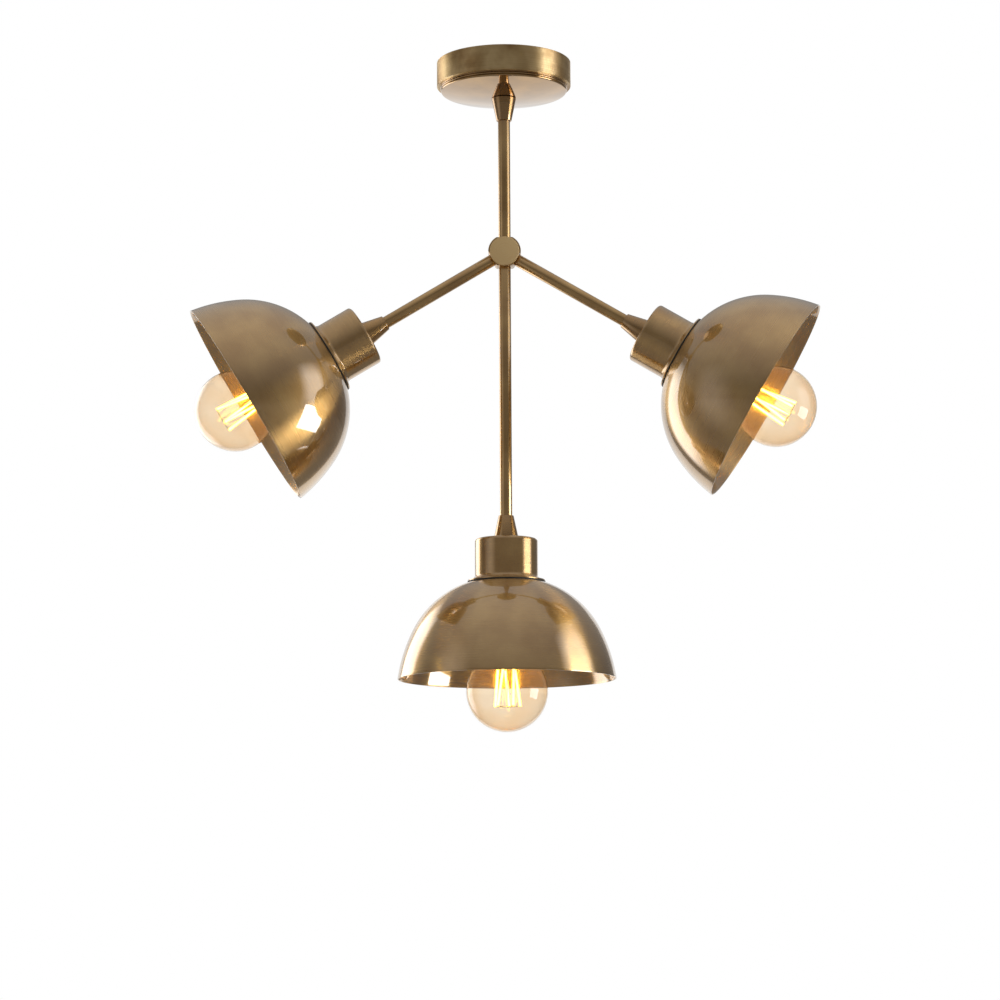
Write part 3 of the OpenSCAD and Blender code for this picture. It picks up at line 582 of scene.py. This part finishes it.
class PENDANT_OT_canopy(bpy.types.Operator):
    """Spins the canopy: wall, step, lip with two fine beads, and domed bottom plate"""

    bl_idname = "pendant.canopy"
    bl_label = "Canopy"

    def execute(self, context):
        s = context.scene.pendant_sizes
        r, t = s.canopy_d / 2, s.sheet_t
        lip = r - s.canopy_step
        foot = -s.canopy_wall_h - s.canopy_lip_h
        bottom = foot - s.canopy_dome
        dome = (lip**2 + s.canopy_dome**2) / (2 * s.canopy_dome)
        hole = s.tube_d / 2 + 0.5 * MM
        corner = 1.5 * MM
        corner_x = lip - corner
        corner_z = bottom + dome - math.sqrt((dome - corner) ** 2 - corner_x**2)
        centre_z = bottom + dome
        reach = math.degrees(math.atan2(corner_x, centre_z - corner_z))
        hole_turn = math.degrees(math.asin(hole / dome))
        inner = dome - t
        inner_turn = math.degrees(math.asin(hole / inner))
        bead = 0.6 * MM
        drops = (bead, s.canopy_lip_h / 2)
        edge = 0.5 * MM
        outside = [
            (r - edge, 0), (r, -edge), (r, -s.canopy_wall_h + edge), (r - edge, -s.canopy_wall_h),
        ]
        for drop in drops:
            outside.append((lip, -s.canopy_wall_h - drop + bead))
            outside.append((lip, -s.canopy_wall_h - drop, 180, 8))
        outside += [
            (lip, corner_z),
            (corner_x, corner_z, 90 - reach, 8),
            (0, centre_z, reach - hole_turn, 48),
        ]
        inside = [
            (hole, centre_z - inner * math.cos(math.radians(inner_turn))),
            (0, centre_z, inner_turn - reach, 48),
            (corner_x, corner_z, reach - 90, 6),
            (lip - t, -s.canopy_wall_h + t), (r - t, -s.canopy_wall_h + t),
        ]
        piece = finish_mesh(
            turned_up((r - t, 0), outside + inside, steps=224), "canopy_spun", Matrix(),
            finish_of("wheel"), "canopy", "antique_brass", "canopy",
        )
        piece.data.materials.append(finish_of("plate"))
        piece.data.materials.append(finish_of("groove"))
        for face in piece.data.polygons:
            if face.center.z < -s.canopy_wall_h:
                off = math.hypot(face.center.x, face.center.y) - lip
                face.material_index = 2 if abs(off) < 0.1 * MM and face.center.z > foot else 1
        return {"FINISHED"}


class PENDANT_OT_collar(bpy.types.Operator):
    """Turns the tapered collar under the canopy"""

    bl_idname = "pendant.collar"
    bl_label = "Collar"

    def execute(self, context):
        s = context.scene.pendant_sizes
        top = -s.canopy_wall_h - s.canopy_lip_h - s.canopy_dome
        bore = s.tube_d / 2 + 0.15 * MM
        cut = 0.4 * MM
        outline = [
            (s.ferrule_wide_d / 2 - cut, top), (s.ferrule_wide_d / 2, top - cut),
            (s.ferrule_narrow_d / 2, top - s.ferrule_l), (bore, top - s.ferrule_l),
        ]
        # The collar's darker brass is painted shade
        finish_mesh(
            turned_up((bore, top), outline, 96, 0.25 * MM), "collar_turned", Matrix(),
            finish_of("stain_and_painted_shade"), "canopy", "antique_brass", "canopy_collar",
        )
        return {"FINISHED"}


def tube_along(name, low, high, place, node):
    """A stem or arm tube between two heights of a frame."""
    s = bpy.context.scene.pendant_sizes
    outline = [(s.tube_d / 2, low), (s.tube_d / 2, high), (s.tube_bore / 2, high)]
    bm = turned_up((s.tube_bore / 2, low), outline, 64, 0.15 * MM)
    return finish_mesh(bm, name, place, finish_of("drawn"), "frame", "antique_brass", node)


class PENDANT_OT_tubes(bpy.types.Operator):
    """Makes the upper stem, the lower stem and the two arms"""

    bl_idname = "pendant.tubes"
    bl_label = "Stem and arms"

    def execute(self, context):
        s = context.scene.pendant_sizes
        low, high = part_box("upper_stem")
        tube_along("upper_stem_tube", low[2], high[2], Matrix(), "upper_stem")
        ferrule_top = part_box("lower_ferrule")[1][2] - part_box("lower_shade")[0][2]
        lower_reach = -s.stem_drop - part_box("lower_shade")[0][2]
        for lamp, node in (("lower", "lower_stem"), ("left", "left_arm"), ("right", "right_arm")):
            reach = lower_reach - (0 if lamp == "lower" else s.side_offset)
            low, high = ferrule_top - TUBE_SEAT_L, reach - s.hub_seat
            tube_along(node + "_tube", low, high, lamp_place(lamp), node)
        return {"FINISHED"}


class PENDANT_OT_hub(bpy.types.Operator):
    """Turns the hub drum, mills its four flats and sets the pale lid in front"""

    bl_idname = "pendant.hub"
    bl_label = "Hub and lid"

    def execute(self, context):
        s = context.scene.pendant_sizes
        across = Matrix.Translation((0, 0, -s.stem_drop)) @ Matrix.Rotation(math.pi / 2, 4, "X")
        half = s.hub_depth / 2
        bm = bmesh.new()
        draw(bm, (0, -half), [(s.hub_d / 2, -half), (s.hub_d / 2, half), (0, half)])
        lathe(bm, 96)
        lay_flat = across.to_3x3().inverted()
        tilt = s.arm_droop
        ways = [Vector((0, 0, 1)), Vector((0, 0, -1))] + [
            Vector((
                side * math.cos(tilt) * math.cos(s.arm_forward),
                -math.cos(tilt) * math.sin(s.arm_forward),
                -math.sin(tilt),
            ))
            for side in (-1, 1)
        ]
        for way in ways:
            way = lay_flat @ way
            cut = bmesh.ops.bisect_plane(
                bm, geom=bm.verts[:] + bm.edges[:] + bm.faces[:], plane_co=way * s.hub_seat,
                plane_no=way, clear_outer=True,
            )
            rim = [g for g in cut["geom_cut"] if isinstance(g, bmesh.types.BMEdge)]
            bmesh.ops.edgeloop_fill(bm, edges=rim)
        soften(bm, 0.8 * MM, 3)
        finish_mesh(bm, "hub_drum", across, finish_of("satin"), "frame", "antique_brass", "hub")

        r, face, chamfer = s.lid_d / 2, half + s.lid_t, 0.6 * MM
        plug_r, plug_foot = 11.45 * MM, half - 2.6 * MM
        outline = [
            (plug_r, plug_foot), (plug_r, half), (r, half), (r, face - chamfer),
            (r - chamfer, face), (0, face),
        ]
        finish_mesh(
            turned_up((0, plug_foot), outline, 96, 0.12 * MM), "hub_lid_turned", across,
            finish_of("pale"), "frame", "turned_brass", "hub_lid",
        )
        return {"FINISHED"}


class PENDANT_OT_ferrules(bpy.types.Operator):
    """Turns the tapered ferrule between each tube and its cup"""

    bl_idname = "pendant.ferrules"
    bl_label = "Ferrules"

    def execute(self, context):
        s = context.scene.pendant_sizes
        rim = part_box("lower_shade")[0][2]
        low, high = (corner[2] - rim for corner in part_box("lower_ferrule"))
        cut = 0.4 * MM
        hole = NIPPLE_HOLE_R
        seat, seat_foot = s.tube_d / 2 + 0.1 * MM, high - TUBE_SEAT_L
        outline = [
            (s.ferrule_wide_d / 2 - cut, low), (s.ferrule_wide_d / 2, low + cut),
            (s.ferrule_narrow_d / 2, high), (seat, high), (seat, seat_foot), (hole, seat_foot),
        ]
        bm = turned_up((hole, low), outline, 96, 0.2 * MM)
        # The ferrules' darker brass is painted shade
        at_each_lamp(bm, "ferrule_turned", finish_of("stain_and_painted_shade"), "antique_brass", "ferrule")
        return {"FINISHED"}


class PENDANT_OT_cups(bpy.types.Operator):
    """Spins each cup with its rounded top and flared foot, and lays the black gasket under it"""

    bl_idname = "pendant.cups"
    bl_label = "Cups and gaskets"

    def execute(self, context):
        s = context.scene.pendant_sizes
        shoulder_r, shoulder, _, _ = shade_arcs()
        t = s.sheet_t
        gasket, gasket_w, proud = 1.2 * MM, 5 * MM, 0.3 * MM
        r, foot = s.cup_d / 2, s.foot_d / 2
        under = shoulder_r + gasket
        over = under + t

        def at(x, radius):
            """The angle at which an arc round the shoulder's centre is at a distance x."""
            return math.degrees(math.acos((x - shoulder.x) / radius))

        def on(radius, angle):
            """The point at an angle on such an arc."""
            way = math.radians(angle)
            return (shoulder.x + radius * math.cos(way), shoulder.y + radius * math.sin(way))

        foot_edge = shoulder.y + math.sqrt(under**2 - (foot - shoulder.x) ** 2)
        top = foot_edge + s.cup_h
        round_top, sweep = 3 * MM, 4 * MM
        sweep_x = r + sweep
        sweep_z = shoulder.y + math.sqrt((over + sweep) ** 2 - (sweep_x - shoulder.x) ** 2)
        meet = math.degrees(math.atan2(sweep_z - shoulder.y, sweep_x - shoulder.x))
        rim_out, rim_in = at(foot, over), at(foot, under)
        hole = NIPPLE_HOLE_R
        outside = [
            (r - round_top, top), (r - round_top, top - round_top, 90, 8),
            (r, sweep_z), (sweep_x, sweep_z, -meet, 10),
            (shoulder.x, shoulder.y, meet - rim_out, 6),
        ]
        inside = [
            on(under, rim_in),
            (shoulder.x, shoulder.y, rim_in - meet, 6),
            (sweep_x, sweep_z, meet, 10),
            (r - t, top - round_top),
            (r - round_top, top - round_top, -90, 8),
            (hole, top - t),
        ]
        bm = turned_up((hole, top), outside + inside, 128)
        at_each_lamp(bm, "cup_spun", finish_of("satin"), "antique_brass", "cup")

        outer, inner = foot + proud, foot + proud - gasket_w
        gasket_out, gasket_in = at(outer, under), at(inner, under)
        low_out, low_in = at(outer, shoulder_r), at(inner, shoulder_r)
        ring = [
            (shoulder.x, shoulder.y, gasket_in - gasket_out, 6), on(shoulder_r, low_out),
            (shoulder.x, shoulder.y, low_out - low_in, 6),
        ]
        bm = turned_up(on(under, gasket_in), ring, 128)
        at_each_lamp(bm, "gasket_cut", finish_of("rubber"), "gasket_rubber", "gasket")
        return {"FINISHED"}


class PENDANT_OT_shades(bpy.types.Operator):
    """Spins the three dome shades from a shoulder arc and a side arc, with a plain rim"""

    bl_idname = "pendant.shades"
    bl_label = "Shades"

    def execute(self, context):
        s = context.scene.pendant_sizes
        _, shoulder, side, meet = shade_arcs()
        t = s.sheet_t
        hole = NIPPLE_HOLE_R
        meet = math.degrees(meet)
        lean = math.degrees(s.shade_lean)
        inner_r = s.shade_side_r - t
        inner_lean = math.degrees(math.asin(-side.y / inner_r))
        rim = side.x + math.sqrt(inner_r**2 - side.y**2)
        moves = [
            (s.crown_flat_r, s.shade_h),
            (shoulder.x, shoulder.y, 90 - meet, 48),
            (side.x, side.y, meet - lean, 24),
            (rim, 0),
            (side.x, side.y, inner_lean - meet, 24),
            (shoulder.x, shoulder.y, meet - 90, 48),
            (hole, s.shade_h - t),
        ]
        bm = turned_up((hole, s.shade_h), moves, 192, 0.15 * MM)
        at_each_lamp(bm, "shade_spun", finish_of("shade"), "antique_brass", "shade")
        return {"FINISHED"}


class PENDANT_OT_bulbs(bpy.types.Operator):
    """Blows the amber globes with their necks"""

    bl_idname = "pendant.bulbs"
    bl_label = "Bulbs"

    def execute(self, context):
        s = context.scene.pendant_sizes
        r, t = s.globe_d / 2, 0.8 * MM
        neck, sweep = 14 * MM, 12 * MM
        cap_foot = s.bulb_l - r - SCREW_CAP_L
        plug, plug_top = 12.25 * MM, cap_foot + GLASS_PLUG_L
        neck_x = neck + sweep
        neck_z = math.sqrt((r + sweep) ** 2 - neck_x**2)
        meet = math.degrees(math.atan2(neck_z, neck_x))
        shoulder = neck - plug
        moves = [
            (0, 0, -(90 + meet), 72),
            (neck_x, neck_z, meet, 16),
            (neck, cap_foot - shoulder),
            (plug, cap_foot),
            (plug, plug_top),
            (plug - t, plug_top),
            (plug - t, cap_foot - t / 2),
            (neck - t, cap_foot - shoulder - t / 2),
            (neck - t, neck_z),
            (neck_x, neck_z, -meet, 16),
            (0, 0, 90 + meet, 72),
        ]
        bm = turned_up((0, -r), moves, 112)
        glass = finish_of("amber")
        for globe in at_each_lamp(bm, "bulb_globe", glass, "amber_glass", "bulb_glass"):
            globe.visible_shadow = False
        return {"FINISHED"}


def thread(bm, low, high, depth):
    """Raises a screw thread on the upright walls between two heights of a lathed piece. It fades
    out over half a turn at each end."""
    fade_l = THREAD_PITCH / 2
    for v in bm.verts:
        if low < v.co.z < high:
            fade = min(1, (v.co.z - low) / fade_l, (high - v.co.z) / fade_l)
            round_it = v.co.z / THREAD_PITCH - math.atan2(v.co.y, v.co.x) / (2 * math.pi)
            raised = depth * fade * (0.5 + 0.5 * math.cos(2 * math.pi * round_it))
            flat = Vector((v.co.x, v.co.y, 0))
            v.co += flat.normalized() * raised


def rising(x, low, high, steps):
    """Points straight up or down a wall."""
    return [(x, low + (high - low) * i / steps) for i in range(1, steps + 1)]


class PENDANT_OT_bulb_fittings(bpy.types.Operator):
    """Fits each bulb with its threaded screw cap and its glass mount"""

    bl_idname = "pendant.bulb_fittings"
    bl_label = "Bulb fittings"

    def execute(self, context):
        s = context.scene.pendant_sizes
        foot = s.bulb_l - s.globe_d / 2 - SCREW_CAP_L
        bore, closed = 11.95 * MM, foot + 0.4 * MM
        hem_r, hem_top = 13.1 * MM, foot + 1.5 * MM
        root, root_low, cone = 12.3 * MM, foot + 1.7 * MM, foot + 18.4 * MM
        tip, tip_foot, tip_top = 4.6 * MM, foot + 24.4 * MM, foot + SCREW_CAP_L
        cap = (
            [(bore, closed), (bore, foot), (hem_r, foot), (hem_r, hem_top), (root, root_low)]
            + rising(root, root_low, cone, 60)
            + [(tip + 1 * MM, tip_foot), (tip, tip_foot), (tip, tip_top), (0, tip_top)]
        )
        thread_low, turns, raised = foot + 1.8 * MM, 4.4, 0.75 * MM
        bm = turned_up((0, closed), cap, 96)
        thread(bm, thread_low, thread_low + turns * THREAD_PITCH, raised)
        at_each_lamp(bm, "bulb_screw_cap", finish_of("nickel"), "cap_metal", "bulb_cap")

        rod_r, flare, flare_top = 2.4 * MM, 11.4 * MM, foot + GLASS_PLUG_L
        mount = [
            (1.6 * MM, MOUNT_FOOT - 0.6 * MM), (rod_r, MOUNT_FOOT + 1 * MM),
            (rod_r, foot - 4 * MM), (3.6 * MM, foot + 2 * MM), (7.5 * MM, foot + 6 * MM),
            (flare, flare_top - 0.5 * MM), (flare, flare_top), (0, flare_top),
        ]
        bm = turned_up((0, MOUNT_FOOT - 1 * MM), mount, 48)
        at_each_lamp(bm, "bulb_stem_mount", finish_of("clear"), "clear_glass", "bulb_mount")
        return {"FINISHED"}


def stick(bm, head, foot, radius, segments=16):
    """A round stick between two points, with softened ends."""
    way = foot - head
    turned = way.to_track_quat("Z", "Y").to_matrix().to_4x4()
    made = bmesh.ops.create_cone(
        bm, cap_ends=True, segments=segments, radius1=radius, radius2=radius, depth=way.length,
        matrix=Matrix.Translation((head + foot) / 2) @ turned,
    )
    # The edges between its sides fold by 45 degrees at most, and those of its ends by 90
    ends = {e: None for v in made["verts"] for e in v.link_edges if (fold(e) or 0) > 60}
    bmesh.ops.bevel(
        bm, geom=list(ends), offset=radius * 0.4, segments=2, profile=0.5, affect="EDGES",
        material=-1,
    )


class PENDANT_OT_filaments(bpy.types.Operator):
    """Stands the lit sticks round the centre wire of each bulb, thicker and wider apart than in
    the solids, as their glare shows them"""

    bl_idname = "pendant.filaments"
    bl_label = "Filament sticks"

    sticks: IntProperty(
        name="Sticks", description="Number of filament sticks", default=5, min=3, max=8,
    )

    def execute(self, context):
        top, long = 21 * MM, 36 * MM
        low = top - long
        head_ring, foot_ring = 9 * MM, 13 * MM
        lit_r, wire_r = 1.4 * MM, 0.35 * MM
        first, twist = math.radians(10), math.radians(20)
        lit, wires = bmesh.new(), bmesh.new()
        stick(wires, Vector((0, 0, MOUNT_FOOT)), Vector((0, 0, low - 1 * MM)), wire_r, 8)
        for index in range(self.sticks):
            turn_to = first + index * 2 * math.pi / self.sticks
            lead = turn_to + twist
            head = Vector((head_ring * math.cos(lead), head_ring * math.sin(lead), top))
            foot = Vector((foot_ring * math.cos(turn_to), foot_ring * math.sin(turn_to), low))
            stick(lit, head, foot, lit_r)
            stick(wires, Vector((0, 0, top + 1 * MM)), head, wire_r, 8)
            stick(wires, Vector((0, 0, low - 0.7 * MM)), foot, wire_r, 8)
        at_each_lamp(lit, "bulb_sticks", finish_of("phosphor"), "filament", "bulb_filaments")
        at_each_lamp(wires, "bulb_wires", finish_of("nickel"), "cap_metal")
        return {"FINISHED"}


class PENDANT_OT_holders(bpy.types.Operator):
    """Moulds each black lampholder and its threaded brass shell"""

    bl_idname = "pendant.holders"
    bl_label = "Lampholders"

    def execute(self, context):
        s = context.scene.pendant_sizes
        clamp = 4 * MM  # the nut and washer between the crown and the lampholder
        top = s.shade_h - s.sheet_t - clamp
        black = finish_of("phenolic")

        r, wall, hole, cut = 20 * MM, 2.2 * MM, 5 * MM, 0.4 * MM
        boss_r, boss_foot = 9 * MM, top - 4 * MM
        bend, shoulder, skirt = r - 10 * MM, top - 14 * MM, top - 21 * MM
        cap = [
            (boss_r, top), (boss_r, boss_foot), (bend, boss_foot), (bend, shoulder, 90, 12),
            (r, skirt + cut), (r - cut, skirt), (r - wall, skirt), (r - wall, shoulder),
            (bend, shoulder, -90, 12), (hole, boss_foot - wall),
        ]
        bm = turned_up((hole, top), cap, 96)
        at_each_lamp(bm, "holder_cap_moulded", black, "holder_plastic", "holder_cap")

        bottom, round_foot, bore = top - 51 * MM, 2 * MM, 14.75 * MM
        spigot, spigot_top = r - wall - 0.05 * MM, skirt + 5 * MM
        spigot_in = spigot - 1.8 * MM
        floor_top, floor_low, floor_hole = top - 22 * MM, top - 25 * MM, 1.5 * MM
        body = [
            (r - round_foot, bottom), (r - round_foot, bottom + round_foot, -90, 8),
            (r, skirt - cut), (r - cut, skirt), (spigot, skirt), (spigot, spigot_top),
            (spigot_in, spigot_top), (spigot_in, floor_top), (floor_hole, floor_top),
            (floor_hole, floor_low), (bore, floor_low), (bore, bottom),
        ]
        bm = turned_up((bore, bottom), body, 96)
        at_each_lamp(bm, "holder_body_moulded", black, "holder_plastic", "holder_body")

        shell_r, shell_t, shell_hole = 13.45 * MM, 0.4 * MM, 5 * MM
        shell_low, shell_under = floor_low - 22 * MM, floor_low - shell_t
        shell = (
            [(shell_r + shell_t, shell_low)]
            + rising(shell_r + shell_t, shell_low, floor_low, 64)
            + [(shell_hole, floor_low), (shell_hole, shell_under), (shell_r, shell_under)]
            + rising(shell_r, shell_under, shell_low, 64)[:-1]
        )
        bm = turned_up((shell_r, shell_low), shell, 96)
        thread(bm, shell_low + 1 * MM, shell_low + 19 * MM, 0.6 * MM)
        at_each_lamp(bm, "holder_shell_pressed", finish_of("bare"), "bare_brass", "holder_shell")
        return {"FINISHED"}


class PENDANT_OT_fixings(bpy.types.Operator):
    """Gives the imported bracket, nuts, nipples, block, screws and flexes their finishes"""

    bl_idname = "pendant.fixings"
    bl_label = "Hidden fixings"

    def execute(self, context):
        by_slot = {
            "zinc_steel": "zinc", "block_plastic": "ivory", "bare_brass": "screw",
            "flex_sheath": "sheath",
        }
        slots = {part["node"]: part["material_slot"] for part in frame["record"]["subparts"]}
        for node, piece in frame["nodes"].items():
            if slots[node] in by_slot:
                piece.data.materials.clear()
                piece.data.materials.append(finish_of(by_slot[slots[node]]))
        return {"FINISHED"}


# ---------------------------------------------------------------- stage


def white_to_camera(tree, paint, share):
    """Paint that shows as white, by a share, to the camera and to what it sees through glass."""
    path = add(tree, "ShaderNodeLightPath")
    seen = add(
        tree, "ShaderNodeMath", {"operation": "MAXIMUM"}, None,
        {0: path.outputs["Is Camera Ray"], 1: path.outputs["Is Transmission Ray"]},
    )
    part = add(tree, "ShaderNodeMath", {"operation": "MULTIPLY"}, {1: share}, {0: seen.outputs[0]})
    glow = add(tree, "ShaderNodeEmission", None, {"Color": (1, 1, 1, 1), "Strength": 1.0})
    return add(
        tree, "ShaderNodeMixShader", None, None,
        {0: part.outputs[0], 1: paint, 2: glow.outputs[0]},
    ).outputs[0]


def softbox(name, place, aim, width, height, radiance, fade):
    """A softbox at a place, aimed at a point, whose light fades out over a share of its sides."""
    data = bpy.data.lights.new(name, "AREA")
    data.shape = "RECTANGLE"
    data.size, data.size_y = width, height
    data.energy = radiance * math.pi * width * height
    data.use_nodes = True
    tree = data.node_tree
    tree.nodes.clear()
    spot = add(tree, "ShaderNodeNewGeometry").outputs["Parametric"]
    spot = add(tree, "ShaderNodeSeparateXYZ", None, None, {"Vector": spot})
    falls = []
    for axis in ("X", "Y"):
        off = add(
            tree, "ShaderNodeMath", {"operation": "SUBTRACT"}, {1: 0.5}, {0: spot.outputs[axis]},
        ).outputs[0]
        far = add(tree, "ShaderNodeMath", {"operation": "ABSOLUTE"}, None, {0: off}).outputs[0]
        falls.append(spread(tree, far, 1.0, 0.0, 0.5 - fade, 0.5))
    both = add(
        tree, "ShaderNodeMath", {"operation": "MULTIPLY"}, None, {0: falls[0], 1: falls[1]},
    ).outputs[0]
    glow = add(tree, "ShaderNodeEmission", None, None, {"Strength": both})
    add(tree, "ShaderNodeOutputLight", None, None, {"Surface": glow.outputs[0]})
    lamp = bpy.data.objects.new(name, data)
    lamp.location = place
    lamp.rotation_euler = (Vector(aim) - Vector(place)).to_track_quat("-Z", "Y").to_euler()
    lamp.visible_camera = False
    lamp.visible_transmission = False
    bpy.context.scene.collection.objects.link(lamp)


class PENDANT_OT_studio(bpy.types.Operator):
    """Sets the pale floor, the softboxes, the lit backdrop, the dim room and the camera"""

    bl_idname = "pendant.studio"
    bl_label = "Studio"

    def execute(self, context):
        scene = context.scene
        scene.view_settings.view_transform = "Standard"

        # The floor reaches past every view, and lies lower than any camera that looks up
        floor_reach, floor_height = 200, -4
        bm = bmesh.new()
        bmesh.ops.create_grid(bm, x_segments=1, y_segments=1, size=floor_reach)
        bmesh.ops.translate(bm, verts=bm.verts, vec=(0, 0, floor_height))
        mesh = bpy.data.meshes.new("studio_floor")
        bm.to_mesh(mesh)
        bm.free()
        floor = bpy.data.objects.new("studio_floor", mesh)
        scene.collection.objects.link(floor)
        # Pale painted floor: even, matte, and lit to near white where the camera sees it
        material, tree, surface = new_material(
            "Pale painted floor", {"Base Color": colour4(linear("#c0beba")), "Roughness": 0.8},
        )
        seen = white_to_camera(tree, surface.outputs["BSDF"], 0.9)
        wire(tree, tree.nodes["Material Output"], {"Surface": seen})
        mesh.materials.append(material)

        # The room is dim around and below, and pale overhead, where the white ceiling is lit
        world = bpy.data.worlds.new("Dim room")
        world.use_nodes = True
        tree = world.node_tree
        tree.nodes.clear()
        way = add(tree, "ShaderNodeTexCoord").outputs["Generated"]
        rise = add(tree, "ShaderNodeSeparateXYZ", None, None, {"Vector": way}).outputs["Z"]
        bright = spread(tree, rise, low=0.16, high=0.66, start=0.18, end=1.0)
        room = add(
            tree, "ShaderNodeBackground", None, {"Color": colour4(linear("#fbf8f4"))},
            {"Strength": bright},
        )
        add(
            tree, "ShaderNodeOutputWorld", None, None,
            {"Surface": white_to_camera(tree, room.outputs[0], 1.0)},
        )
        scene.world = world

        # The lit backdrop stands for the white paper behind the pendant, which its sides mirror
        softbox("softbox_left", (-0.87, 0.68, -0.45), (0, 0, -0.45), 0.7, 1.6, 2.8, 0.2)
        softbox("softbox_right", (1.88, -0.2, -0.82), (0, 0, -0.6), 1.0, 0.7, 8.0, 0.02)
        softbox("softbox_above", (1.89, -0.17, 0.15), (0, 0, 0.15), 1.6, 2.0, 1.9, 0.3)
        softbox("softbox_front", (-1.68, -0.89, -0.3), (0, 0, -0.3), 1.7, 2.4, 0.4, 0.4)
        softbox("lit_backdrop", (-0.1, 2.6, -0.85), (-0.1, 0, -0.85), 2.8, 2.9, 0.7, 0.02)

        # The glow of each bulb starts at its centre, between the sticks, and moves with the bulb
        for lamp in LAMPS:
            glow = bpy.data.lights.new(lamp + "_bulb_glow", "POINT")
            glow.energy = 0.6
            glow.color = linear("#fff046")
            glow.shadow_soft_size = 4 * MM
            light = bpy.data.objects.new(lamp + "_bulb_glow", glow)
            centre = lamp_place(lamp) @ Matrix.Translation((0, 0, bulb_centre()))
            light.location = centre.translation
            light.visible_transmission = False
            scene.collection.objects.link(light)
            light.parent = frame["bodies"][lamp + "_bulb"]

        # The camera stands below the hub, about 3 m away, and is tilted up as the photo's was
        camera = bpy.data.cameras.new("photo_camera")
        camera.lens = 113.49
        camera.clip_end = 400
        viewer = bpy.data.objects.new("photo_camera", camera)
        scene.collection.objects.link(viewer)
        away, height = 3.069, -0.893
        side, pitch, yaw, roll = (math.radians(d) for d in (1.0, 8.334, 0.111, -0.3))
        place = Matrix.Translation((away * math.sin(side), -away * math.cos(side), height))
        viewer.matrix_world = (
            place
            @ Matrix.Rotation(side + yaw, 4, "Z")
            @ Matrix.Rotation(math.pi / 2 + pitch, 4, "X")
            @ Matrix.Rotation(roll, 4, "Z")
        )
        scene.camera = viewer
        return {"FINISHED"}


class PENDANT_PT_panel(bpy.types.Panel):
    """Lists the pendant's sizes, colours and building steps"""

    bl_idname = "PENDANT_PT_panel"
    bl_label = "Pendant"
    bl_space_type = "VIEW_3D"
    bl_region_type = "UI"
    bl_category = "Pendant"

    def draw(self, context):
        for group in (context.scene.pendant_sizes, context.scene.pendant_colours):
            box = self.layout.box()
            for key in group.__annotations__:
                box.prop(group, key)
        for step in OPERATORS:
            self.layout.operator(step.bl_idname)


OPERATORS = (
    PENDANT_OT_canopy,
    PENDANT_OT_collar,
    PENDANT_OT_tubes,
    PENDANT_OT_hub,
    PENDANT_OT_ferrules,
    PENDANT_OT_cups,
    PENDANT_OT_shades,
    PENDANT_OT_bulbs,
    PENDANT_OT_bulb_fittings,
    PENDANT_OT_filaments,
    PENDANT_OT_holders,
    PENDANT_OT_fixings,
    PENDANT_OT_studio,
)
CLASSES = (PendantSizes, PendantColours) + OPERATORS + (PENDANT_PT_panel,)


def register():
    for cls in CLASSES:
        bpy.utils.register_class(cls)
    bpy.types.Scene.pendant_sizes = PointerProperty(type=PendantSizes)
    bpy.types.Scene.pendant_colours = PointerProperty(type=PendantColours)


def unregister():
    del bpy.types.Scene.pendant_sizes
    del bpy.types.Scene.pendant_colours
    for cls in reversed(CLASSES):
        bpy.utils.unregister_class(cls)


def main():
    """Builds the pendant."""
    register()
    for step in OPERATORS:
        group, name = step.bl_idname.split(".")
        getattr(getattr(bpy.ops, group), name)()
    bpy.context.view_layer.update()


if __name__ == "__main__":
    main()
